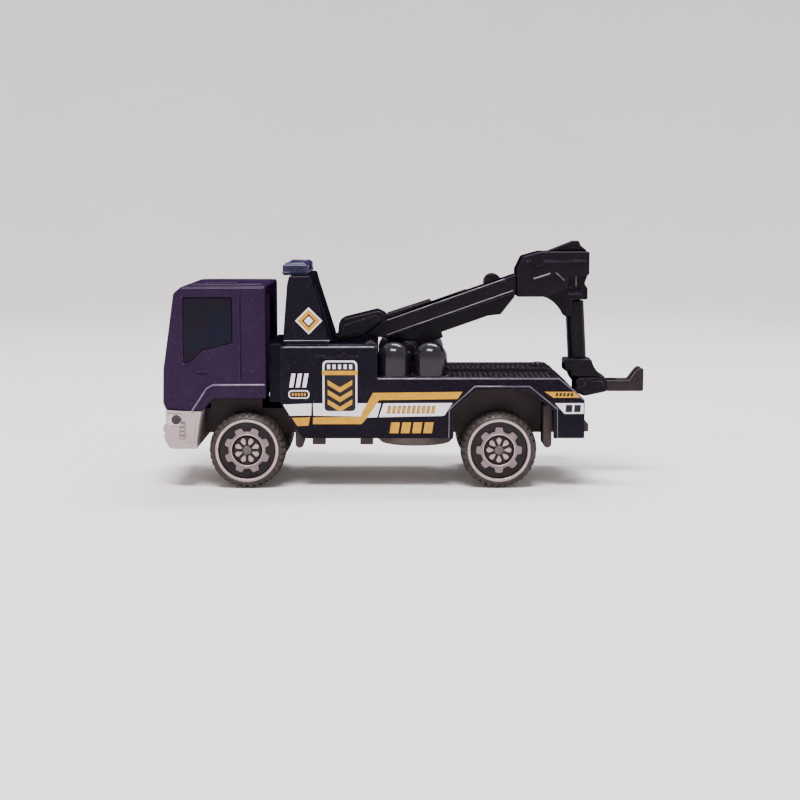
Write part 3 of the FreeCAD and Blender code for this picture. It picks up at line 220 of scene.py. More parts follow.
INK = surface("print_ink", (0.007, 0.0052, 0.011), (0.0055, 0.0042, 0.009), 0.38)
# Paler, glossier copies of the cab, body and boom finishes for beads along edges: painted highlights that stand
# for light caught on glossy edges.
CAB_PAINTED_HIGHLIGHT = surface("cab_painted_highlight", (0.15, 0.115, 0.205), (0.06, 0.042, 0.088), 0.18,
                    specular=0.8, patch_scale=420)
BODY_PAINTED_HIGHLIGHT = surface("body_painted_highlight", (0.085, 0.072, 0.108), (0.03, 0.024, 0.04), 0.18,
                     specular=0.8, patch_scale=420)
BOOM_PAINTED_HIGHLIGHT = surface("boom_painted_highlight", (0.1, 0.084, 0.122), (0.022, 0.018, 0.028), 0.18,
                     specular=0.8, patch_scale=420)
# A near-black for seams, the grille field, intakes and wiper blades; under the cab handles it is a painted shadow.
DARK_SEAM_AND_SHADOW = surface("seam_and_painted_shadow", (0.0035, 0.0025, 0.005), (0.0025, 0.002, 0.004), 0.6, specular=0.1)
REFLECTOR = surface("lamp_dark", (0.03, 0.022, 0.024), (0.016, 0.012, 0.013), 0.15,
                    metallic=0.4, specular=0.5, grain=0.1, patch_scale=1500)
STAGE = surface("backdrop_paper", (0.8, 0.78, 0.77), (0.775, 0.755, 0.745), 0.75,
                specular=0.1, patch_scale=14)


# ---------- mesh helpers ----------

# Where pieces ride, and the slot of their finish.
ON_CAB = ("truck", "cab_paint")
ON_BODY = ("truck", "body_paint")
ON_BUMPER = ("truck", "bumper_plastic")
ON_DECK = ("truck", "deck_plastic")
ON_BAR = ("truck", "beacon_plastic")
ON_SPARE = ("truck", "spare_plastic")
ON_BOOM = ("boom", "boom_plastic")
ON_HEAD = ("boom_extension", "boom_plastic")


def add_piece(name, bm, body, slot_name, mat=None, smooth=None):
    """Turns a bmesh into a named piece that rides on a CAD body, in its slot's finish
    unless another is given."""
    mesh = bpy.data.meshes.new(name)
    bmesh.ops.recalc_face_normals(bm, faces=bm.faces)
    bm.to_mesh(mesh)
    bm.free()
    piece = bpy.data.objects.new(name, mesh)
    bpy.context.scene.collection.objects.link(piece)
    mesh.materials.append(mat or MATERIALS[slot_name])
    if smooth is not None:
        shade_smooth(piece, smooth)
    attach(piece, body)
    return piece


def shade_smooth(piece, angle):
    """Smooth shading that keeps edges sharper than the angle, in degrees."""
    mesh = piece.data
    for face in mesh.polygons:
        face.use_smooth = True
    mesh.set_sharp_from_angle(angle=math.radians(angle))


def bevel(piece, width, segments=2, angle=35):
    made = piece.modifiers.new("soft_edges", "BEVEL")
    made.width = width
    made.segments = segments
    made.limit_method = "ANGLE"
    made.angle_limit = math.radians(angle)


def stitch(bm, first, second):
    """Closes the band between two rings of as many points."""
    count = len(first)
    for index in range(count):
        after = (index + 1) % count
        bm.faces.new((first[index], first[after], second[after], second[index]))


def prism(bm, outline, place, low, high):
    """A straight block: an outline in millimetres, placed at depth low and depth high."""
    points = [(a * MM, b * MM) for a, b in outline]
    lower = [bm.verts.new(place(a, b, low)) for a, b in points]
    upper = [bm.verts.new(place(a, b, high)) for a, b in points]
    bm.faces.new(lower)
    bm.faces.new(upper)
    stitch(bm, lower, upper)


def on_flank(side):
    """Places (x, z, distance from the middle plane) on the left or the right side."""
    return lambda x, z, depth: Vector((x, side * depth, z))


def on_front(y, z, depth):
    return Vector((depth, y, z))


def on_floor_plan(x, y, depth):
    return Vector((x, y, depth))


def block(x_low, x_high, z_low, z_high, slant=0.0):
    """A rectangle whose lower edge is moved back by the slant."""
    return [(x_low, z_high), (x_high, z_high), (x_high - slant, z_low),
            (x_low - slant, z_low)]


def rounded(x_low, x_high, z_low, z_high, radius, steps=5):
    """A rectangle with round corners."""
    outline = []
    corners = ((x_high - radius, z_high - radius, 0), (x_low + radius, z_high - radius, 90),
               (x_low + radius, z_low + radius, 180), (x_high - radius, z_low + radius, 270))
    for x, z, start in corners:
        for step in range(steps + 1):
            turn = math.radians(start + 90 * step / steps)
            outline.append((x + radius * math.cos(turn), z + radius * math.sin(turn)))
    return outline


def disc(x, z, radius, steps=28):
    turns = [2 * math.pi * step / steps for step in range(steps)]
    return [(x + radius * math.cos(turn), z + radius * math.sin(turn)) for turn in turns]


def flank_pieces(name, outlines, inner, outer, body, slot_name, mat=None, soft=0.0):
    """The same raised shapes on both flanks, between two distances in millimetres."""
    for side_name, side in SIDES.items():
        bm = bmesh.new()
        for outline in outlines:
            prism(bm, outline, on_flank(side), inner * MM, outer * MM)
        piece = add_piece(f"{name}_{side_name}", bm, body, slot_name, mat)
        if soft:
            bevel(piece, soft * MM)


def tube(bm, points, radius, sides=8):
    """A round bar of millimetre points; its ends are closed."""
    path = [Vector(point) * MM for point in points]
    rings = []
    for index, point in enumerate(path):
        before = path[max(index - 1, 0)]
        after = path[min(index + 1, len(path) - 1)]
        ahead = (after - before).normalized()
        across = ahead.cross(Vector((0, 0, 1)))
        if across.length < 0.1:
            across = ahead.cross(Vector((0, 1, 0)))
        across.normalize()
        square = across.cross(ahead)
        ring = []
        for step in range(sides):
            turn = 2 * math.pi * step / sides
            out = across * math.cos(turn) + square * math.sin(turn)
            ring.append(bm.verts.new(point + out * radius * MM))
        rings.append(ring)
    for first, second in zip(rings, rings[1:]):
        stitch(bm, first, second)
    bm.faces.new(rings[0])
    bm.faces.new(rings[-1])


def beads(name, paths, radius, body, slot_name, mat=None):
    """Half-sunk round beads, one for each path of millimetre points."""
    bm = bmesh.new()
    for path in paths:
        tube(bm, path, radius)
    add_piece(name, bm, body, slot_name, mat, 50)


def on_both_sides(paths):
    return [[(x, side * y, z) for x, y, z in path] for side in SIDES.values()
            for path in paths]


def revolve(bm, profile, centre, axis, turns=96):
    """Turns a closed (along, radius) profile, in metres, about an axis through the centre."""
    rings = []
    for step in range(turns):
        angle = 2 * math.pi * step / turns
        ring = []
        for along, radius in profile:
            first, second = radius * math.cos(angle), radius * math.sin(angle)
            offset = (first, along, second) if axis == "Y" else (first, second, along)
            ring.append(bm.verts.new(centre + Vector(offset)))
        rings.append(ring)
    for step in range(turns):
        stitch(bm, rings[step], rings[(step + 1) % turns])


# ---------- CAD nodes that stay: finish and softened edges ----------

SLOT_RADII = {"cab_paint": 0.45, "body_paint": 0.25, "boom_plastic": 0.22,
              "bumper_plastic": 0.2, "base_plastic": 0.15,
              "fork_plastic": 0.3, "spare_plastic": 0.15, "beacon_plastic": 0.2,
              "headlight_lens": 0.15, "axle_steel": 0.12, "rivet_steel": 0.12,
              "dark_glazing": 0.1}
NODE_RADII = {"lower_bracket": 0.42, "hook_carrier": 0.4, "winch_housing": 0.35,
              "boom_head": 0.3, "head_horn": 0.3, "tower": 0.35}
WELD_GAP = 0.002
FLAT_ANGLE, WHOLE_SPLIT, PLAIN_SPLIT = 1, 48, 30
# Nodes whose faces have holes or recesses: merging their flats would close those.
PLAIN_NODES = {"tow_body", "chassis_base", "deck_plate", "boom_bracket", "spare_wheel"}


def finish_cad_nodes():
    """Gives every CAD node its material and the small radii of a moulded or cast piece."""
    slots = {item["node"]: item["material_slot"] for item in frame["record"]["subparts"]}
    for name, item in NODES.items():
        item.data.materials.clear()
        item.data.materials.append(MATERIALS[slots[name]])
        for face in item.data.polygons:
            face.use_smooth = True
        weld = item.modifiers.new("weld", "WELD")
        weld.merge_threshold = WELD_GAP * MM
        radius = NODE_RADII.get(name, SLOT_RADII.get(slots[name]))
        whole = name not in PLAIN_NODES
        if radius and whole:
            flats = item.modifiers.new("flats", "DECIMATE")
            flats.decimate_type = "DISSOLVE"
            flats.angle_limit = math.radians(FLAT_ANGLE)
        if radius:
            bevel(item, radius * MM, 3)
            item.modifiers["soft_edges"].use_clamp_overlap = not whole
        split = item.modifiers.new("sharp_edges", "EDGE_SPLIT")
        split.split_angle = math.radians(WHOLE_SPLIT if whole else PLAIN_SPLIT)
        if whole:
            item.modifiers.new("even_shading", "WEIGHTED_NORMAL")


finish_cad_nodes()


# ---------- wheels ----------

TYRE_RADIUS = (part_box("front_tyre_left")[1][2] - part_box("front_tyre_left")[0][2]) / 2
TREAD_LUGS = 34
LOBES = 8
RIM_SEAT = TYRE_RADIUS - 1.35 * MM
RIM_LIP = TYRE_RADIUS - 1.92 * MM
GEAR_VALLEY, GEAR_TIP, GEAR_INNER = 3.75 * MM, 4.62 * MM, 3.30 * MM
BORDER_INNER = 3.08 * MM
PETAL_NEAR, PETAL_FAR = 1.12 * MM, 2.52 * MM


def wheel_frame(axle, side_name):
    low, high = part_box(f"{axle}_tyre_{side_name}")
    centre = Vector(((low[0] + high[0]) / 2, 0, (low[2] + high[2]) / 2))
    outer = max(abs(low[1]), abs(high[1]))
    inner = min(abs(low[1]), abs(high[1]))
    return centre, inner, outer


def make_tyre(axle, side_name):
    """A rounded tyre with three offset rows of tread lugs."""
    side = SIDES[side_name]
    centre, inner, outer = wheel_frame(axle, side_name)
    base = TYRE_RADIUS - 0.28 * MM
    profile = [(inner, RIM_SEAT), (inner + 0.05 * MM, base - 1.0 * MM),
               (inner + 0.35 * MM, base - 0.35 * MM), (inner + 0.9 * MM, base),
               (outer - 0.9 * MM, base), (outer - 0.35 * MM, base - 0.35 * MM),
               (outer - 0.05 * MM, base - 0.9 * MM), (outer, RIM_SEAT + 0.25 * MM),
               (outer - 0.1 * MM, RIM_SEAT)]
    bm = bmesh.new()
    revolve(bm, [(side * y, radius) for y, radius in profile], centre, "Y")
    width = outer - inner
    rows = ((inner + 0.25 * MM, inner + 0.30 * width, 0.0, True),
            (inner + 0.36 * width, inner + 0.62 * width, 0.5, False),
            (outer - 0.32 * width, outer - 0.2 * MM, 0.0, True))
    pitch = 2 * math.pi / TREAD_LUGS
    for low, high, offset, shoulder in rows:
        outermost = high > outer - 0.5 * MM
        for step in range(TREAD_LUGS):
            add_lug(bm, centre, side, (low, high), (step + offset) * pitch, pitch * 0.62,
                    base, shoulder, outermost)
    tyre = add_piece(f"{axle}_tyre_{side_name}_tread", bm, f"{axle}_wheelset",
                     "tyre_rubber", smooth=38)
    bevel(tyre, 0.06 * MM, 2, 40)
    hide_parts(f"{axle}_tyre_{side_name}")


def add_lug(bm, centre, side, reach, angle, span, base, shoulder, outermost):
    """One tread block; a shoulder block leans down over the tyre's edge."""
    drop = 0.75 * MM if shoulder else 0.0
    corners = []
    for on_top in (False, True):
        for y, at_edge in ((reach[0], not outermost), (reach[1], outermost)):
            for half in (-1, 1):
                turn = angle + half * span / 2 * (0.86 if on_top else 1.0)
                radius = TYRE_RADIUS if on_top else base - 0.1 * MM
                if at_edge:
                    radius -= drop * (0.35 if on_top else 1.0)
                corners.append(bm.verts.new(centre + Vector((
                    radius * math.cos(turn), side * y, radius * math.sin(turn)))))
    quads = ((0, 1, 3, 2), (4, 5, 7, 6), (0, 1, 5, 4), (2, 3, 7, 6), (0, 2, 6, 4),
             (1, 3, 7, 5))
    for quad in quads:
        bm.faces.new([corners[index] for index in quad])


def polar_prism(bm, centre, side, outline, low, high, shrink):
    """A block from (radius, angle) points whose outer face is a little smaller."""
    points = [(radius * math.cos(angle), radius * math.sin(angle))
              for radius, angle in outline]
    middle_x = sum(x for x, z in points) / len(points)
    middle_z = sum(z for x, z in points) / len(points)
    rings = []
    for depth, scale in ((low, 1.0), (high - 0.05 * MM, 1.0), (high, 1.0 - shrink)):
        rings.append([bm.verts.new(centre + Vector((
            middle_x + (x - middle_x) * scale, side * depth,
            middle_z + (z - middle_z) * scale))) for x, z in points])
    for first, second in zip(rings, rings[1:]):
        stitch(bm, first, second)
    bm.faces.new(rings[0])
    bm.faces.new(rings[-1])


def lobe_radius(angle, start):
    """The gear ring's outline: flat-topped lobes with rounded valleys."""
    share = ((angle - start) / (2 * math.pi) * LOBES) % 1.0
    away = abs(share - 0.5) * 2
    rise = min(1.0, max(0.0, (away - 0.36) / 0.30))
    return GEAR_VALLEY + (GEAR_TIP - GEAR_VALLEY) * rise * rise * (3 - 2 * rise)


def ring_between(bm, centre, side, outer_of, inner_of, low, high, steps=96):
    """A flat ring whose outer and inner radii depend on the angle."""
    rings = []
    for step in range(steps):
        angle = 2 * math.pi * step / steps
        outer, inner = outer_of(angle), inner_of(angle)
        ring = []
        for radius, depth in ((outer, low), (outer, high - 0.06 * MM),
                              (outer - 0.06 * MM, high), (inner + 0.05 * MM, high),
                              (inner, high - 0.05 * MM), (inner, low)):
            ring.append(bm.verts.new(centre + Vector((
                radius * math.cos(angle), side * depth, radius * math.sin(angle)))))
        rings.append(ring)
    for step in range(steps):
        stitch(bm, rings[step], rings[(step + 1) % steps])


def make_rim(axle, side_name):
    """A dished black rim with a silver lip, a lobed ring and eight petal spokes."""
    side = SIDES[side_name]
    centre, inner, outer = wheel_frame(axle, side_name)
    body = f"{axle}_wheelset"
    start = math.pi / 2 if axle == "rear" else math.pi / 2 + math.pi / LOBES
    bm = bmesh.new()
    profile = [(inner + 0.4 * MM, RIM_SEAT), (outer - 0.4 * MM, RIM_SEAT),
               (outer - 0.4 * MM, RIM_LIP), (outer - 1.1 * MM, RIM_LIP - 0.15 * MM),
               (outer - 1.15 * MM, 2.95 * MM), (outer - 1.0 * MM, 2.75 * MM),
               (outer - 1.0 * MM, 0.61 * MM), (inner + 0.4 * MM, 0.61 * MM),
               (inner + 0.4 * MM, 2.4 * MM), (outer - 2.3 * MM, 2.4 * MM),
               (outer - 2.3 * MM, RIM_LIP), (inner + 0.4 * MM, RIM_LIP)]
    revolve(bm, [(side * y, radius) for y, radius in profile], centre, "Y")
    rim = add_piece(f"{axle}_rim_{side_name}_dish", bm, body, "rim_plastic", smooth=30)
    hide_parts(f"{axle}_rim_{side_name}")

    rings = (("lip", lambda angle: RIM_SEAT + 0.02 * MM, RIM_LIP, 0.45, 0.12, 96,
              SILVER_BRIGHT),
             ("gear", lambda angle: lobe_radius(angle, start), GEAR_INNER, 1.2, 0.55, 256,
              SILVER),
             ("border", lambda angle: GEAR_INNER + 0.04 * MM, BORDER_INNER, 1.2, 0.48, 96,
              SILVER_BRIGHT))
    for part, outer_of, hole, back, front, steps, mat in rings:
        bm = bmesh.new()
        ring_between(bm, centre, side, outer_of, lambda angle, hole=hole: hole,
                     outer - back * MM, outer - front * MM, steps)
        add_piece(f"{axle}_rim_{side_name}_{part}", bm, body, "rim_plastic", mat, 40)

    bm = bmesh.new()
    for step in range(LOBES):
        angle = start + step * 2 * math.pi / LOBES
        polar_prism(bm, centre, side, petal_outline(angle), outer - 1.1 * MM,
                    outer - 0.68 * MM, 0.14)
    add_piece(f"{axle}_rim_{side_name}_petals", bm, body, "rim_plastic", SILVER_BRIGHT, 40)


def petal_outline(angle):
    """A petal spoke: narrow at the hub, with a broad rounded outer end."""
    half_near, half_far = math.radians(6.5), math.radians(14.5)
    length = PETAL_FAR - PETAL_NEAR
    shoulder = PETAL_NEAR + 0.7 * length
    outline = [(PETAL_NEAR, angle + half_near), (PETAL_NEAR, angle - half_near),
               (shoulder, angle - half_far)]
    for step in range(1, 6):
        share = step / 6
        swell = math.sin(math.pi * share)
        outline.append((PETAL_FAR - 0.24 * length * (1 - swell),
                        angle - half_far + 2 * half_far * share))
    outline.append((shoulder, angle + half_far))
    return outline


for axle_name in ("front", "rear"):
    for wheel_side in SIDES:
        make_tyre(axle_name, wheel_side)
        make_rim(axle_name, wheel_side)


# ---------- cab ----------

CAB_LOW, CAB_HIGH = box_mm("cab_shell")
CAB_SIDE = CAB_HIGH.y - 0.35
CAB_REAR = CAB_HIGH.x
ROOF = CAB_HIGH.z
DOOR_SEAM_X = CAB_REAR - 5.25
SCREEN_LOW = Vector((-48.43, 0, 28.4))
SCREEN_HIGH = Vector((-46.75, 0, 39.2))


def screen_x(z):
    """X of the windscreen's slanted face at height z."""
    share = (z - SCREEN_LOW.z) / (SCREEN_HIGH.z - SCREEN_LOW.z)
    return SCREEN_LOW.x + (SCREEN_HIGH.x - SCREEN_LOW.x) * share


def add_cab_sides():
    seams = [[(DOOR_SEAM_X, CAB_SIDE, 39.4), (DOOR_SEAM_X, CAB_SIDE, 22.1)]]
    beads("cab_door_beads", on_both_sides(seams), 0.16, *ON_CAB)
    flank_pieces("cab_door_seam", [block(DOOR_SEAM_X + 0.2, DOOR_SEAM_X + 0.36, 22.1, 39.4)],
                 CAB_SIDE - 0.1, CAB_SIDE + 0.02, *ON_CAB, DARK_SEAM_AND_SHADOW)
    # The fender lip bead carries a painted highlight.
    lip = [(-43.2, 15.7), (-40.2, 20.3), (-38.9, 21.0), (-28.6, 21.0)]
    beads("cab_fender_lip", on_both_sides([[(x, CAB_SIDE + 0.24, z) for x, z in lip]]), 0.2,
          *ON_CAB, CAB_PAINTED_HIGHLIGHT)
    handles = [rounded(-42.0, -40.2, 23.35, 24.0, 0.3), rounded(-31.6, -30.7, 23.35, 24.0, 0.3)]
    flank_pieces("cab_handles", handles, CAB_SIDE - 0.2, CAB_SIDE + 0.22, *ON_CAB, soft=0.12)
    # Dark strips painted under the handles as their shadow.
    under = [rounded(-42.15, -40.05, 23.1, 23.42, 0.14)]
    flank_pieces("cab_handle_shadows", under, CAB_SIDE - 0.1, CAB_SIDE + 0.02, *ON_CAB, DARK_SEAM_AND_SHADOW)


def add_cab_front():
    """Grille, windscreen surround and wipers."""
    face = CAB_LOW.x
    bm = bmesh.new()
    prism(bm, rounded(-10.2, 10.2, 17.9, 23.7, 0.9), on_front, (face + 0.6) * MM,
          (face - 0.02) * MM)
    add_piece("grille_field", bm, *ON_CAB, DARK_SEAM_AND_SHADOW)
    bm = bmesh.new()
    for step in range(5):
        low = 18.25 + 1.08 * step
        prism(bm, rounded(-9.9, 9.9, low, low + 0.62, 0.25), on_front, (face + 0.5) * MM,
              (face - 0.24) * MM)
    slats = add_piece("grille_slats", bm, *ON_CAB)
    bevel(slats, 0.1 * MM)
    corners = [(-13.1, 29.1), (13.1, 29.1), (13.1, 38.5), (-13.1, 38.5), (-13.1, 29.1)]
    frame_path = [(screen_x(z) + 0.1, y, z) for y, z in corners]
    beads("windscreen_surround", [frame_path], 0.24, *ON_CAB)
    arms, blades = [], []
    for foot in (-9.2, 2.4):
        arms.append([(screen_x(28.6) - 0.1, foot, 28.6), (screen_x(30.2), foot + 1.2, 30.2),
                     (screen_x(31.9) + 0.05, foot + 3.6, 31.9)])
        blades.append([(screen_x(30.6) + 0.1, foot - 0.4, 30.6),
                       (screen_x(33.4) + 0.1, foot + 7.2, 33.4)])
    beads("wiper_arms", arms, 0.2, *ON_CAB, MATERIALS["deck_plastic"])
    beads("wiper_blades", blades, 0.14, *ON_CAB, DARK_SEAM_AND_SHADOW)


def add_cab_roof_and_back():
    bm = bmesh.new()
    prism(bm, rounded(-41.5, -35.0, -5.5, 5.5, 0.8), on_floor_plan, (ROOF - 0.2) * MM,
          (ROOF + 0.28) * MM)
    hatch = add_piece("roof_hatch", bm, *ON_CAB)
    bevel(hatch, 0.15 * MM)
    ribs = [[(x, y, ROOF - 0.02) for x in (-43.6, -29.4)] for y in (-12.4, -9.2, 9.2, 12.4)]
    beads("roof_ribs", ribs, 0.22, *ON_CAB)
    back = [[(CAB_REAR, y, 21.4), (CAB_REAR, y, 38.6)] for y in (-11.5, -7.7, 7.7, 11.5)]
    beads("cab_back_ribs", back, 0.3, *ON_CAB)
    bm = bmesh.new()
    prism(bm, rounded(-5.9, 5.9, 30.2, 37.4, 0.8), on_front, (CAB_REAR - 0.2) * MM,
          (CAB_REAR + 0.06) * MM)
    add_piece("cab_back_window", bm, "truck", "dark_glazing")


add_cab_sides()
add_cab_front()
add_cab_roof_and_back()


# ---------- bumper and lamps ----------

BUMPER_LOW, BUMPER_HIGH = box_mm("front_bumper")
LAMP_LOW, LAMP_HIGH = box_mm("headlight_right")


def add_bumper():
    side = BUMPER_HIGH.y
    front = BUMPER_LOW.x
    lamp_z = (LAMP_LOW.z + LAMP_HIGH.z) / 2
    slats = [block(-45.6, -44.7, 10.15 + 0.86 * step, 10.55 + 0.86 * step) for step in range(4)]
    flank_pieces("bumper_step_slats", slats, side - 0.6, side - 0.12, *ON_BUMPER, soft=0.08)
    flank_pieces("bumper_side_panels", [[(-44.3, 9.5), (-44.3, 15.0), (-42.1, 15.0),
                                         (-42.45, 12.6), (-42.8, 9.5)]],
                 side - 0.2, side + 0.12, *ON_BUMPER, soft=0.1)
    for side_name, sign in SIDES.items():
        bm = bmesh.new()
        for y in (12.35, 14.25):
            prism(bm, disc(sign * y, lamp_z, 0.78), on_front, (front + 1.2) * MM,
                  (front + 0.4 + (y - 12.35) * 0.35) * MM)
        add_piece(f"headlight_reflectors_{side_name}", bm, "truck", "headlight_lens",
                  REFLECTOR, 40)
        bm = bmesh.new()
        prism(bm, disc(-46.35, lamp_z + 0.1, 0.95), on_flank(sign), (side - 1.0) * MM,
              (side - 0.08) * MM)
        add_piece(f"side_lamp_{side_name}", bm, "truck", "headlight_lens", REFLECTOR, 40)
    bm = bmesh.new()
    for low, high in ((-10.6, -4.9), (4.9, 10.6)):
        prism(bm, rounded(low, high, 12.9, 14.9, 0.4), on_front, (front + 1.0) * MM,
              (front + 0.42) * MM)
    prism(bm, rounded(-4.2, 4.2, 12.9, 14.9, 0.4), on_front, (front + 1.0) * MM,
          (front + 0.42) * MM)
    add_piece("bumper_intakes", bm, *ON_BUMPER, DARK_SEAM_AND_SHADOW)
    bm = bmesh.new()
    for step in range(3):
        low = 13.1 + 0.6 * step
        prism(bm, block(-10.4, 10.4, low, low + 0.28), on_front, (front + 1.0) * MM,
              (front + 0.28) * MM)
    add_piece("bumper_bars", bm, *ON_BUMPER)
    bm = bmesh.new()
    prism(bm, rounded(-3.9, 3.9, 9.6 + 2.0, 9.6 + 2.9, 0.2), on_front, (front + 0.5) * MM,
          (front - 0.16) * MM)
    for y in (-12.2, -9.0, 9.0, 12.2):
        prism(bm, rounded(y - 1.1, y + 1.1, 11.55, 12.3, 0.3), on_front, (front + 0.5) * MM,
              (front - 0.12) * MM)
    plate = add_piece("bumper_blank_plate", bm, *ON_BUMPER)
    bevel(plate, 0.08 * MM)


add_bumper()


# ---------- deck, domes, caps ----------

BODY_HIGH = box_mm("tow_body")[1]
DECK_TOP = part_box("boom_bracket")[0].z / MM
BAND_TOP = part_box("deck_plate")[1].z / MM
DECK_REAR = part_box("deck_plate")[1].x / MM
PIVOT = Vector(JOINTS["boom_lift"]["pos_m"]) / MM
DOMES = [tuple((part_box(f"dome_{side}_{place}")[0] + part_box(f"dome_{side}_{place}")[1])
               / 2 / MM) for side in SIDES for place in ("front", "rear")]
DOME_RADIUS = (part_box("dome_left_front")[1].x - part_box("dome_left_front")[0].x) / 2 / MM
CHEQUER_PITCH = 1.05


def chequer_rows(x_low, x_high, y_low, y_high):
    """Places and turns of a chequer plate's bars."""
    columns = int((x_high - x_low) / CHEQUER_PITCH)
    rows = int((y_high - y_low) / CHEQUER_PITCH)
    for column in range(columns):
        for row in range(rows):
            x = x_low + (column + 0.5) * CHEQUER_PITCH
            y = y_low + (row + 0.5) * CHEQUER_PITCH
            yield x, y, 45 if (column + row) % 2 else -45


def clear_of_fittings(x, y):
    for dome in DOMES:
        if math.hypot(x - dome[0], y - dome[1]) < DOME_RADIUS + 0.7:
            return False
    return not (abs(y) < 5.9 and PIVOT.x - 4.6 < x < PIVOT.x + 5.4)


def add_bar(bm, x, y, turn, z):
    """One raised bar of the chequer plate, narrower at its top."""
    rings = []
    for half_length, half_width, height in ((0.46, 0.15, -0.03), (0.38, 0.07, 0.11)):
        ring = []
        for along, across in ((half_length, 0), (0, half_width), (-half_length, 0),
                              (0, -half_width)):
            ring.append(bm.verts.new(Vector((
                x + along * math.cos(turn) - across * math.sin(turn),
                y + along * math.sin(turn) + across * math.cos(turn), z + height)) * MM))
        rings.append(ring)
    stitch(bm, rings[0], rings[1])
    bm.faces.new(rings[0])
    bm.faces.new(rings[1])


def add_chequer():
    bm = bmesh.new()
    areas = [(-5.6, DECK_REAR - 0.3, 4.4, 14.5, DECK_TOP),
             (-5.6, DECK_REAR - 0.3, -14.5, -4.4, DECK_TOP),
             (-15.0, -6.6, 4.4, 8.6, DECK_TOP), (-15.0, -6.6, -8.6, -4.4, DECK_TOP)]
    for x_low, x_high, y_low, y_high, z in areas:
        for x, y, turn in chequer_rows(x_low, x_high, y_low, y_high):
            if clear_of_fittings(x, y):
                add_bar(bm, x, y, math.radians(turn), z)
    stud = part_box("deck_stud")
    stud_x = (stud[0].x + stud[1].x) / 2 / MM
    for x, y, turn in chequer_rows(PIVOT.x + 5.4, DECK_REAR - 0.4, -3.6, 3.6):
        if math.hypot(x - stud_x, y) > 1.8:
            add_bar(bm, x, y, math.radians(turn), BAND_TOP)
    add_piece("deck_chequer", bm, *ON_DECK)


def add_dome_seats():
    """A flange ring under each dome."""
    bm = bmesh.new()
    radius = DOME_RADIUS * MM
    for dome in DOMES:
        centre = Vector((dome[0], dome[1], DECK_TOP)) * MM
        revolve(bm, [(-0.05 * MM, radius - 0.1 * MM), (0.28 * MM, radius - 0.1 * MM),
                     (0.36 * MM, radius + 0.12 * MM), (0.28 * MM, radius + 0.34 * MM),
                     (-0.05 * MM, radius + 0.4 * MM)], centre, "Z", 64)
    add_piece("dome_seats", bm, *ON_DECK, smooth=40)


def add_ribbed_caps():
    for side_name, side in SIDES.items():
        low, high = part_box(f"ribbed_cap_{side_name}")
        middle = (low + high) / 2
        radius = (high.x - low.x) / 2
        inner = min(abs(low.y), abs(high.y))
        outer = max(abs(low.y), abs(high.y))
        bm = bmesh.new()
        outline = []
        ribs = 16
        for step in range(ribs * 4):
            turn = 2 * math.pi * step / (ribs * 4)
            reach = radius if step % 4 < 2 else radius - 0.16 * MM
            outline.append(((middle.x + reach * math.cos(turn)) / MM,
                            (middle.z + reach * math.sin(turn)) / MM))
        prism(bm, outline, on_flank(side), inner, outer - 0.15 * MM)
        prism(bm, disc(middle.x / MM, middle.z / MM, radius / MM * 0.72), on_flank(side),
              inner, outer)
        cap = add_piece(f"ribbed_cap_{side_name}_ribs", bm, *ON_DECK)
        bevel(cap, 0.05 * MM)
        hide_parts(f"ribbed_cap_{side_name}")


add_chequer()
add_dome_seats()
add_ribbed_caps()


# ---------- tow body, tower and light bar ----------

BODY_SIDE = BODY_HIGH.y - 0.3
TOWER_LOW, TOWER_HIGH = box_mm("tower")
BAR_LOW, BAR_HIGH = box_mm("light_bar")


def add_body_details():
    flank_pieces("locker_ledge", [rounded(-18.5, -9.8, 26.35, 26.95, 0.25)],
                 BODY_SIDE - 0.1, BODY_SIDE + 0.25, *ON_BODY, soft=0.1)
    # The rails, the rear arch lip and the locker edges are beads in a painted-highlight finish.
    rails = [[(-6.0, BODY_SIDE - 0.12, DECK_TOP - 0.1), (30.3, BODY_SIDE - 0.12, DECK_TOP - 0.1),
              (33.0, BODY_SIDE - 0.12, 20.0), (35.2, BODY_SIDE - 0.12, 17.95)]]
    beads("body_rails", on_both_sides(rails), 0.2, *ON_BODY, BODY_PAINTED_HIGHLIGHT)
    arch = [(8.3, 10.3), (8.3, 16.1), (13.4, 20.7), (24.4, 20.7), (30.0, 16.1), (30.0, 10.3)]
    beads("rear_arch_lip", on_both_sides([[(x, BODY_HIGH.y - 0.05, z) for x, z in arch]]),
          0.17, *ON_BODY, BODY_PAINTED_HIGHLIGHT)
    corner = [[(-24.8, BODY_SIDE - 0.3, BODY_HIGH.z - 0.3),
               (-6.8, BODY_SIDE - 0.3, BODY_HIGH.z - 0.3)]]
    beads("locker_edges", on_both_sides(corner), 0.17, *ON_BODY, BODY_PAINTED_HIGHLIGHT)
    locker_tops = [[(-24.4, BODY_SIDE - 1.6, BODY_HIGH.z), (-8.9, BODY_SIDE - 1.6, BODY_HIGH.z)]]
    beads("locker_top_ribs", on_both_sides(locker_tops), 0.2, *ON_BODY)
    bm = bmesh.new()
    for side in SIDES.values():
        for low in (11.3, 13.2):
            prism(bm, rounded(*sorted((side * low, side * (low + 1.6))), 14.0, 16.6, 0.3),
                  on_front, (BODY_HIGH.x - 0.2) * MM, (BODY_HIGH.x + 0.2) * MM)
    lamps = add_piece("tail_lamps", bm, *ON_BODY)
    bevel(lamps, 0.1 * MM)


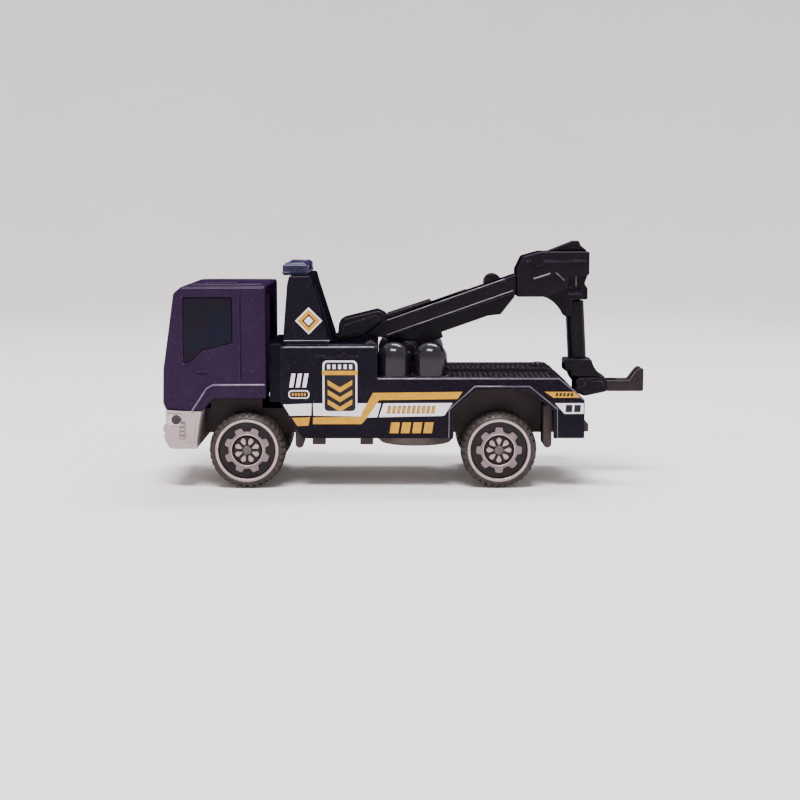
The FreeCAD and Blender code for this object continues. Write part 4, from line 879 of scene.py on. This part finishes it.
def add_tower_details():
    slope_low = Vector((TOWER_HIGH.x, 0, TOWER_LOW.z + 0.6))
    slope_high = Vector((-18.85, 0, 40.3))
    ribs = [[(slope_low.x, y, slope_low.z), (slope_high.x, y, slope_high.z)]
            for y in (-9.6, 9.6)]
    beads("tower_back_ribs", ribs, 0.28, *ON_BODY)
    # The tower's foot beads carry a painted highlight.
    waist = [[(TOWER_LOW.x + 0.3, TOWER_HIGH.y, TOWER_LOW.z + 0.9),
              (TOWER_HIGH.x - 0.2, TOWER_HIGH.y, TOWER_LOW.z + 0.9)]]
    beads("tower_foot_beads", on_both_sides(waist), 0.12, *ON_BODY, BODY_PAINTED_HIGHLIGHT)


def add_light_bar():
    """Two ribbed lenses at the ends and a plain box between them."""
    bm = bmesh.new()
    top = BAR_HIGH.z
    ribs = 8
    for side in SIDES.values():
        for step in range(ribs):
            y = side * (6.4 + 0.56 * step)
            tube(bm, [(BAR_LOW.x + 0.05, y, BAR_LOW.z + 0.5), (BAR_LOW.x + 0.05, y, top - 0.5),
                      (BAR_LOW.x + 0.6, y, top - 0.02), (BAR_HIGH.x - 0.6, y, top - 0.02),
                      (BAR_HIGH.x - 0.05, y, top - 0.5), (BAR_HIGH.x - 0.05, y,
                                                          BAR_LOW.z + 0.5)], 0.17, 6)
    add_piece("light_bar_ribs", bm, *ON_BAR, smooth=50)
    belt = [(x, y, BAR_LOW.z + 0.55) for x, y in (
        (BAR_LOW.x, BAR_LOW.y), (BAR_HIGH.x, BAR_LOW.y), (BAR_HIGH.x, BAR_HIGH.y),
        (BAR_LOW.x, BAR_HIGH.y), (BAR_LOW.x, BAR_LOW.y))]
    beads("light_bar_belt", [belt], 0.2, *ON_BAR)
    slats = [[(BAR_LOW.x + 0.9 + 0.62 * step, side * (BAR_HIGH.y + 0.02), BAR_LOW.z + 0.9),
              (BAR_LOW.x + 0.9 + 0.62 * step, side * (BAR_HIGH.y + 0.02), top - 0.5)]
             for side in SIDES.values() for step in range(6)]
    beads("light_bar_end_ribs", slats, 0.16, *ON_BAR)


add_body_details()
add_tower_details()
add_light_bar()


# ---------- boom, head and hook ----------

BOOM_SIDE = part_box("boom_beam")[1].y / MM
WINCH_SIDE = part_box("winch_housing")[1].y / MM
UP_BOOM = Vector(JOINTS["boom_extend"]["axis"])
OFF_BOOM = Vector((-UP_BOOM.z, 0, UP_BOOM.x))
FOLD = Vector(JOINTS["fork_tilt"]["pos_m"]) / MM
ARM = Vector(JOINTS["arm_swivel"]["pos_m"]) / MM


def boom_point(u, v, y):
    """A point u up the boom from its pivot and v square to it, in millimetres."""
    spot = PIVOT + UP_BOOM * u + OFF_BOOM * v
    return (spot.x, y, spot.z)


def boom_outline(points):
    return [boom_point(u, v, 0)[::2] for u, v in points]


def add_boom_details():
    flank_pieces("boom_flanges", [boom_outline([(-3.6, 3.75), (24.4, 3.75), (24.2, 4.3),
                                                (-3.6, 4.3)])],
                 BOOM_SIDE - 0.1, BOOM_SIDE + 0.28, *ON_BOOM, soft=0.12)
    flank_pieces("boom_top_rails", [boom_outline([(-3.9, 6.65), (23.4, 6.65), (23.2, 7.2),
                                                  (-3.9, 7.2)])],
                 BOOM_SIDE - 0.1, BOOM_SIDE + 0.2, *ON_BOOM, soft=0.12)
    flank_pieces("winch_panels", [boom_outline([(-12.6, 7.0), (-11.2, 9.3), (-4.2, 9.0),
                                                (-3.6, 8.0), (-8.2, 6.8)])],
                 WINCH_SIDE - 0.1, WINCH_SIDE + 0.2, *ON_BOOM, soft=0.15)
    centre = boom_point(0, 0, 0)
    flank_pieces("boom_lug_bosses", [disc(centre[0], centre[2], 1.35)], 5.1, 5.75, "truck",
                 "boom_plastic", soft=0.2)
    # Beads along the flange and rail edges in a painted-highlight finish.
    highlight_lines = [[boom_point(low, v, BOOM_SIDE + 0.2), boom_point(high, v, BOOM_SIDE + 0.2)]
             for low, high, v in ((-3.4, 24.1, 4.28), (-3.7, 23.2, 7.12))]
    beads("boom_edge_lines", on_both_sides(highlight_lines), 0.12, *ON_BOOM, BOOM_PAINTED_HIGHLIGHT)
    cover = [[boom_point(-2.0, 8.2, y), boom_point(7.4, 7.98, y)] for y in (-1.9, 1.9)]
    beads("boom_cover_ribs", cover, 0.16, *ON_BOOM)


def add_head_details():
    side = box_mm("boom_head")[1].y
    # The head's side and cheek ribs carry a painted highlight.
    ribs = [[(26.0, side, 41.6), (29.4, side, 42.7)], [(30.6, side, 42.9), (32.3, side, 41.3)]]
    beads("head_side_ribs", on_both_sides(ribs), 0.18, *ON_HEAD, BOOM_PAINTED_HIGHLIGHT)
    cheek = [[(35.0, 2.3, 39.9), (35.0, 2.3, 42.0)]]
    beads("head_cheek_ribs", on_both_sides(cheek), 0.16, *ON_HEAD, BOOM_PAINTED_HIGHLIGHT)
    flank_pieces("head_top_flanges", [[(24.3, 45.0), (24.6, 45.5), (36.9, 45.5), (36.9, 45.0)]],
                 side - 0.1, side + 0.22, *ON_HEAD, soft=0.1)
    bm = bmesh.new()
    for low in (38.0, 38.5):
        revolve(bm, [((low - 0.2) * MM, 2.5 * MM), (low * MM, 2.78 * MM),
                     ((low + 0.3) * MM, 2.78 * MM), ((low + 0.5) * MM, 2.5 * MM)],
                Vector((34.87 * MM, 0, 0)), "Z", 48)
    add_piece("head_collar_ring", bm, *ON_HEAD, smooth=40)


def add_arm_details():
    """A rounded foot ring, fold bosses and pads on the carrier."""
    bm = bmesh.new()
    centre = ARM * MM
    profile = [(-1.9, 2.2), (-1.75, 2.75), (-1.3, 3.0), (-0.5, 3.0), (-0.05, 2.75),
               (0.1, 2.2)]
    revolve(bm, [(along * MM, radius * MM) for along, radius in profile],
            Vector((centre.x - 0.05 * MM, 0, centre.z)), "Z", 64)
    add_piece("foot_ring", bm, "drop_arm", "boom_plastic", smooth=40)
    carrier_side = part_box("hook_carrier")[1].y / MM
    flank_pieces("fold_bosses", [disc(FOLD.x + 0.15, FOLD.z, 1.05)], carrier_side - 0.3,
                 carrier_side + 0.3, "hook", "boom_plastic", soft=0.2)
    flank_pieces("carrier_pads", [rounded(38.0, 40.9, 18.9, 20.3, 0.4)], carrier_side - 0.1,
                 carrier_side + 0.22, "hook", "boom_plastic", soft=0.12)
    fork_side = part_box("tow_fork")[1].y / MM
    flank_pieces("fork_ribs", [[(42.2, 18.7), (42.2, 19.3), (47.9, 19.3), (48.4, 21.9),
                                (48.8, 21.9), (48.6, 18.7)]], fork_side - 0.1,
                 fork_side + 0.14, "hook", "fork_plastic", soft=0.08)


add_boom_details()
add_head_details()
add_arm_details()


# ---------- underside ----------

BEAM_LOW = 10.4
SPARE_LOW, SPARE_HIGH = box_mm("spare_wheel")


def add_underside():
    rails = [[(x, y, BEAM_LOW) for x in (-21.0, -7.2)] for y in (-8.2, -4.1, 4.1, 8.2)]
    rails += [[(x, y, BEAM_LOW) for x in (10.4, 15.8)] for y in (-3.4, 3.4)]
    rails += [[(x, y, BEAM_LOW) for x in (21.0, 33.0)] for y in (-6.2, -3.4, 3.4, 6.2)]
    cross = [[(x, -8.6, BEAM_LOW), (x, 8.6, BEAM_LOW)] for x in (-20.4, -13.9, 23.2, 31.4)]
    beads("base_ribs", rails + cross, 0.35, "truck", "base_plastic")


def add_spare():
    """Tread blocks round the spare wheel, and round studs and a hub disc under it."""
    middle = (SPARE_LOW + SPARE_HIGH) / 2
    radius = (SPARE_HIGH.x - SPARE_LOW.x) / 2
    bm = bmesh.new()
    lugs = 40
    for step in range(lugs):
        turn = 2 * math.pi * step / lugs
        half = math.pi / lugs * 0.6
        outline = [(middle.x + (radius + reach) * math.cos(turn + sign * half),
                    (radius + reach) * math.sin(turn + sign * half))
                   for reach, sign in ((-0.15, -1), (0.14, -1), (0.14, 1), (-0.15, 1))]
        prism(bm, outline, on_floor_plan, (SPARE_LOW.z + 0.8) * MM, (SPARE_HIGH.z - 0.3) * MM)
    add_piece("spare_tread", bm, *ON_SPARE)
    bm = bmesh.new()
    for step in range(LOBES):
        turn = 2 * math.pi * step / LOBES
        spot = (middle.x + 2.4 * math.cos(turn), 2.4 * math.sin(turn))
        prism(bm, disc(*spot, 0.5, 16), on_floor_plan, (SPARE_LOW.z + 0.6) * MM,
              (SPARE_LOW.z + 1.0) * MM)
    prism(bm, disc(middle.x, 0, 1.2), on_floor_plan, (SPARE_LOW.z + 0.4) * MM,
          (SPARE_LOW.z + 1.0) * MM)
    hub = add_piece("spare_studs", bm, *ON_SPARE)
    bevel(hub, 0.1 * MM)


add_underside()
add_spare()


# ---------- printed markings ----------

TOWER_SIDE = TOWER_HIGH.y
PRINT_SINK = 0.05
PRINT_RISE = 0.03


def print_shape(name, outlines, mat, layer=1, depth=BODY_SIDE):
    """Thin printed shapes on both flanks; a higher layer lies over a lower one."""
    flank_pieces(name, outlines, depth - PRINT_SINK, depth + PRINT_RISE * layer, *ON_BODY, mat)


def add_stripes():
    print_shape("stripe_white_front", [
        [(-24.95, 17.05), (-19.25, 17.25), (-19.35, 14.85), (-23.6, 14.8)],
        [(-18.95, 17.3), (-5.35, 17.3), (-7.4, 14.6), (-18.9, 14.8)]], WHITE)
    print_shape("stripe_gold_low", [
        [(-23.2, 14.35), (-19.55, 14.5), (-19.9, 12.8), (-22.1, 12.7)],
        [(-18.95, 14.45), (-9.3, 14.6), (-9.3, 13.1), (-19.0, 13.1)]], GOLD)
    print_shape("stripe_gold_rise", [
        [(-9.35, 14.6), (-9.1, 15.5), (-6.95, 19.4), (10.95, 19.6), (9.95, 18.15),
         (-5.75, 17.95), (-8.2, 14.3), (-9.3, 13.1)]], GOLD, 2)
    print_shape("stripe_white_slant", [
        [(-6.75, 17.3), (-5.35, 17.3), (-6.1, 14.5), (-8.1, 14.4)]], WHITE, 1.5)
    print_shape("band_white", [
        [(-4.85, 17.3), (8.95, 17.35), (7.35, 14.85), (6.75, 14.75),
         (-5.75, 14.5)]], WHITE, 1.5)
    ticks = [block(-3.9 + 0.98 * step, -3.25 + 0.98 * step, 15.25, 16.75, 0.25)
             for step in range(10)]
    print_shape("band_ticks", ticks, INK, 2)
    inner = [block(-3.8 + 0.98 * step, -3.35 + 0.98 * step, 15.4, 16.6, 0.2)
             for step in range(10)]
    print_shape("band_ticks_gold", inner, GOLD, 2.6)
    blocks = [block(-3.3 + 2.25 * step, -1.55 + 2.25 * step, 11.25, 13.45, 0.35)
              for step in range(4)]
    print_shape("blocks_gold", blocks, GOLD)


def add_tail_prints():
    print_shape("rear_gold", [
        [(27.4, 19.6), (33.45, 19.6), (34.7, 18.4), (29.2, 18.4)]], GOLD)
    ticks = [block(29.7 + 0.75 * step, 30.15 + 0.75 * step, 18.7, 19.35, 0.15)
             for step in range(5)]
    print_shape("rear_gold_ticks", ticks, INK, 2)
    print_shape("rear_white", [
        [(29.5, 17.3), (35.25, 17.3), (35.25, 15.15), (31.4, 15.15)]], WHITE)
    print_shape("rear_white_blocks", [block(31.7, 33.0, 15.5, 16.95, 0.1),
                                      block(33.4, 34.7, 15.5, 16.95, 0.1)], INK, 2)


def add_number_bars():
    """Three slanted bars over an outlined pill, on the front of each locker."""
    print_shape("locker_bars", [block(-23.2 + 1.3 * step, -22.4 + 1.3 * step, 20.5, 23.3, 0.5)
                                for step in range(3)], WHITE)
    print_shape("locker_pill", [rounded(-23.85, -19.65, 18.25, 19.95, 0.7)], WHITE)
    print_shape("locker_pill_fill", [rounded(-23.6, -19.9, 18.5, 19.7, 0.5)], INK, 2)
    print_shape("locker_pill_ticks", [block(-23.15 + 0.6 * step, -22.8 + 0.6 * step,
                                            18.8, 19.4) for step in range(5)], GOLD, 3)


def add_locker_panel():
    """A plain warning panel with chevrons in place of a badge."""
    print_shape("panel_border", [rounded(-17.0, -10.1, 15.4, 25.9, 0.9)], WHITE, 1.6)
    print_shape("panel_field", [rounded(-16.65, -10.45, 15.75, 25.55, 0.7)], INK, 2.2)
    print_shape("panel_head", [block(-17.1, -10.0, 23.0, 23.85)], GOLD, 2.8)
    print_shape("panel_head_ticks", [block(-16.1 + 1.1 * step, -15.5 + 1.1 * step,
                                           24.2, 25.1) for step in range(5)], WHITE, 2.8)
    chevrons = []
    for step in range(3):
        top = 22.0 - 1.95 * step
        chevrons.append([(-16.0, top), (-13.55, top - 1.5), (-11.1, top),
                         (-11.1, top - 1.0), (-13.55, top - 2.5), (-16.0, top - 1.0)])
    print_shape("panel_chevrons", chevrons, GOLD, 2.8)


def lozenge(half):
    return [(-19.8 - half, 33.7), (-19.8, 33.7 + half), (-19.8 + half, 33.7),
            (-19.8, 33.7 - half)]


def add_tower_mark():
    """A plain lozenge on each flank of the tower."""
    layers = (("edge", 2.7, WHITE, 1), ("gold", 2.3, GOLD, 2), ("ring", 1.35, INK, 2.6),
              ("core", 0.95, WHITE, 3.2))
    for part, half, mat, layer in layers:
        print_shape(f"tower_mark_{part}", [lozenge(half)], mat, layer, TOWER_SIDE)


add_stripes()
add_tail_prints()
add_number_bars()
add_locker_panel()
add_tower_mark()


# ---------- stage, light and camera ----------

def add_stage():
    """A floor that curves up into a pale wall all round, so that no edge shows."""
    flat, curve, wall_top = 0.55, 0.35, 1.1
    profile = [(0.0, 0.0), (flat * 0.5, 0.0), (flat, 0.0)]
    steps = 16
    for step in range(1, steps + 1):
        turn = math.pi / 2 * step / steps
        profile.append((flat + curve * math.sin(turn), curve * (1 - math.cos(turn))))
    profile.append((flat + curve, wall_top))
    turns = 96
    bm = bmesh.new()
    middle = bm.verts.new((0, 0, 0))
    rings = []
    for radius, height in profile[1:]:
        rings.append([bm.verts.new((radius * math.cos(2 * math.pi * step / turns),
                                    radius * math.sin(2 * math.pi * step / turns), height))
                      for step in range(turns)])
    for step in range(turns):
        after = (step + 1) % turns
        bm.faces.new((middle, rings[0][step], rings[0][after]))
        for first, second in zip(rings, rings[1:]):
            bm.faces.new((first[step], first[after], second[after], second[step]))
    bmesh.ops.recalc_face_normals(bm, faces=bm.faces)
    mesh = bpy.data.meshes.new("backdrop")
    bm.to_mesh(mesh)
    bm.free()
    for face in mesh.polygons:
        face.use_smooth = True
    mesh.materials.append(STAGE)
    backdrop = bpy.data.objects.new("backdrop", mesh)
    bpy.context.scene.collection.objects.link(backdrop)


def add_area(name, place, size, power, tint=(1, 1, 1)):
    """A soft light that looks at the middle of the truck."""
    light = bpy.data.lights.new(name, "AREA")
    light.shape = "RECTANGLE"
    light.size, light.size_y = size
    light.energy = power
    light.color = tint
    lamp = bpy.data.objects.new(name, light)
    lamp.location = place
    aim = Vector((0, 0, 0.02)) - Vector(place)
    lamp.rotation_euler = aim.to_track_quat("-Z", "Y").to_euler()
    bpy.context.scene.collection.objects.link(lamp)


def add_lights():
    world = bpy.data.worlds.new("studio")
    world.use_nodes = True
    background = world.node_tree.nodes["Background"]
    background.inputs["Color"].default_value = (1.0, 0.97, 0.98, 1)
    background.inputs["Strength"].default_value = 0.9
    bpy.context.scene.world = world
    add_area("key", (-0.06, -0.26, 0.62), (0.34, 0.16), 7.0, (1.0, 0.97, 0.98))
    add_area("rim", (0.10, 0.30, 0.60), (0.40, 0.12), 4.0, (0.96, 0.95, 1.0))


def add_camera():
    """Almost square to the left flank, 7 degrees above it."""
    camera_data = bpy.data.cameras.new("camera")
    camera_data.sensor_width = 36
    camera_data.lens = 69.2
    camera_data.clip_start = 0.01
    camera = bpy.data.objects.new("camera", camera_data)
    place = Vector((-2.95, -321.5, 56.0)) * MM
    target = Vector((-1.55, -16.5, 18.0)) * MM
    camera.location = place
    camera.rotation_euler = (target - place).to_track_quat("-Z", "Y").to_euler()
    bpy.context.scene.collection.objects.link(camera)
    bpy.context.scene.camera = camera


add_stage()
add_lights()
add_camera()
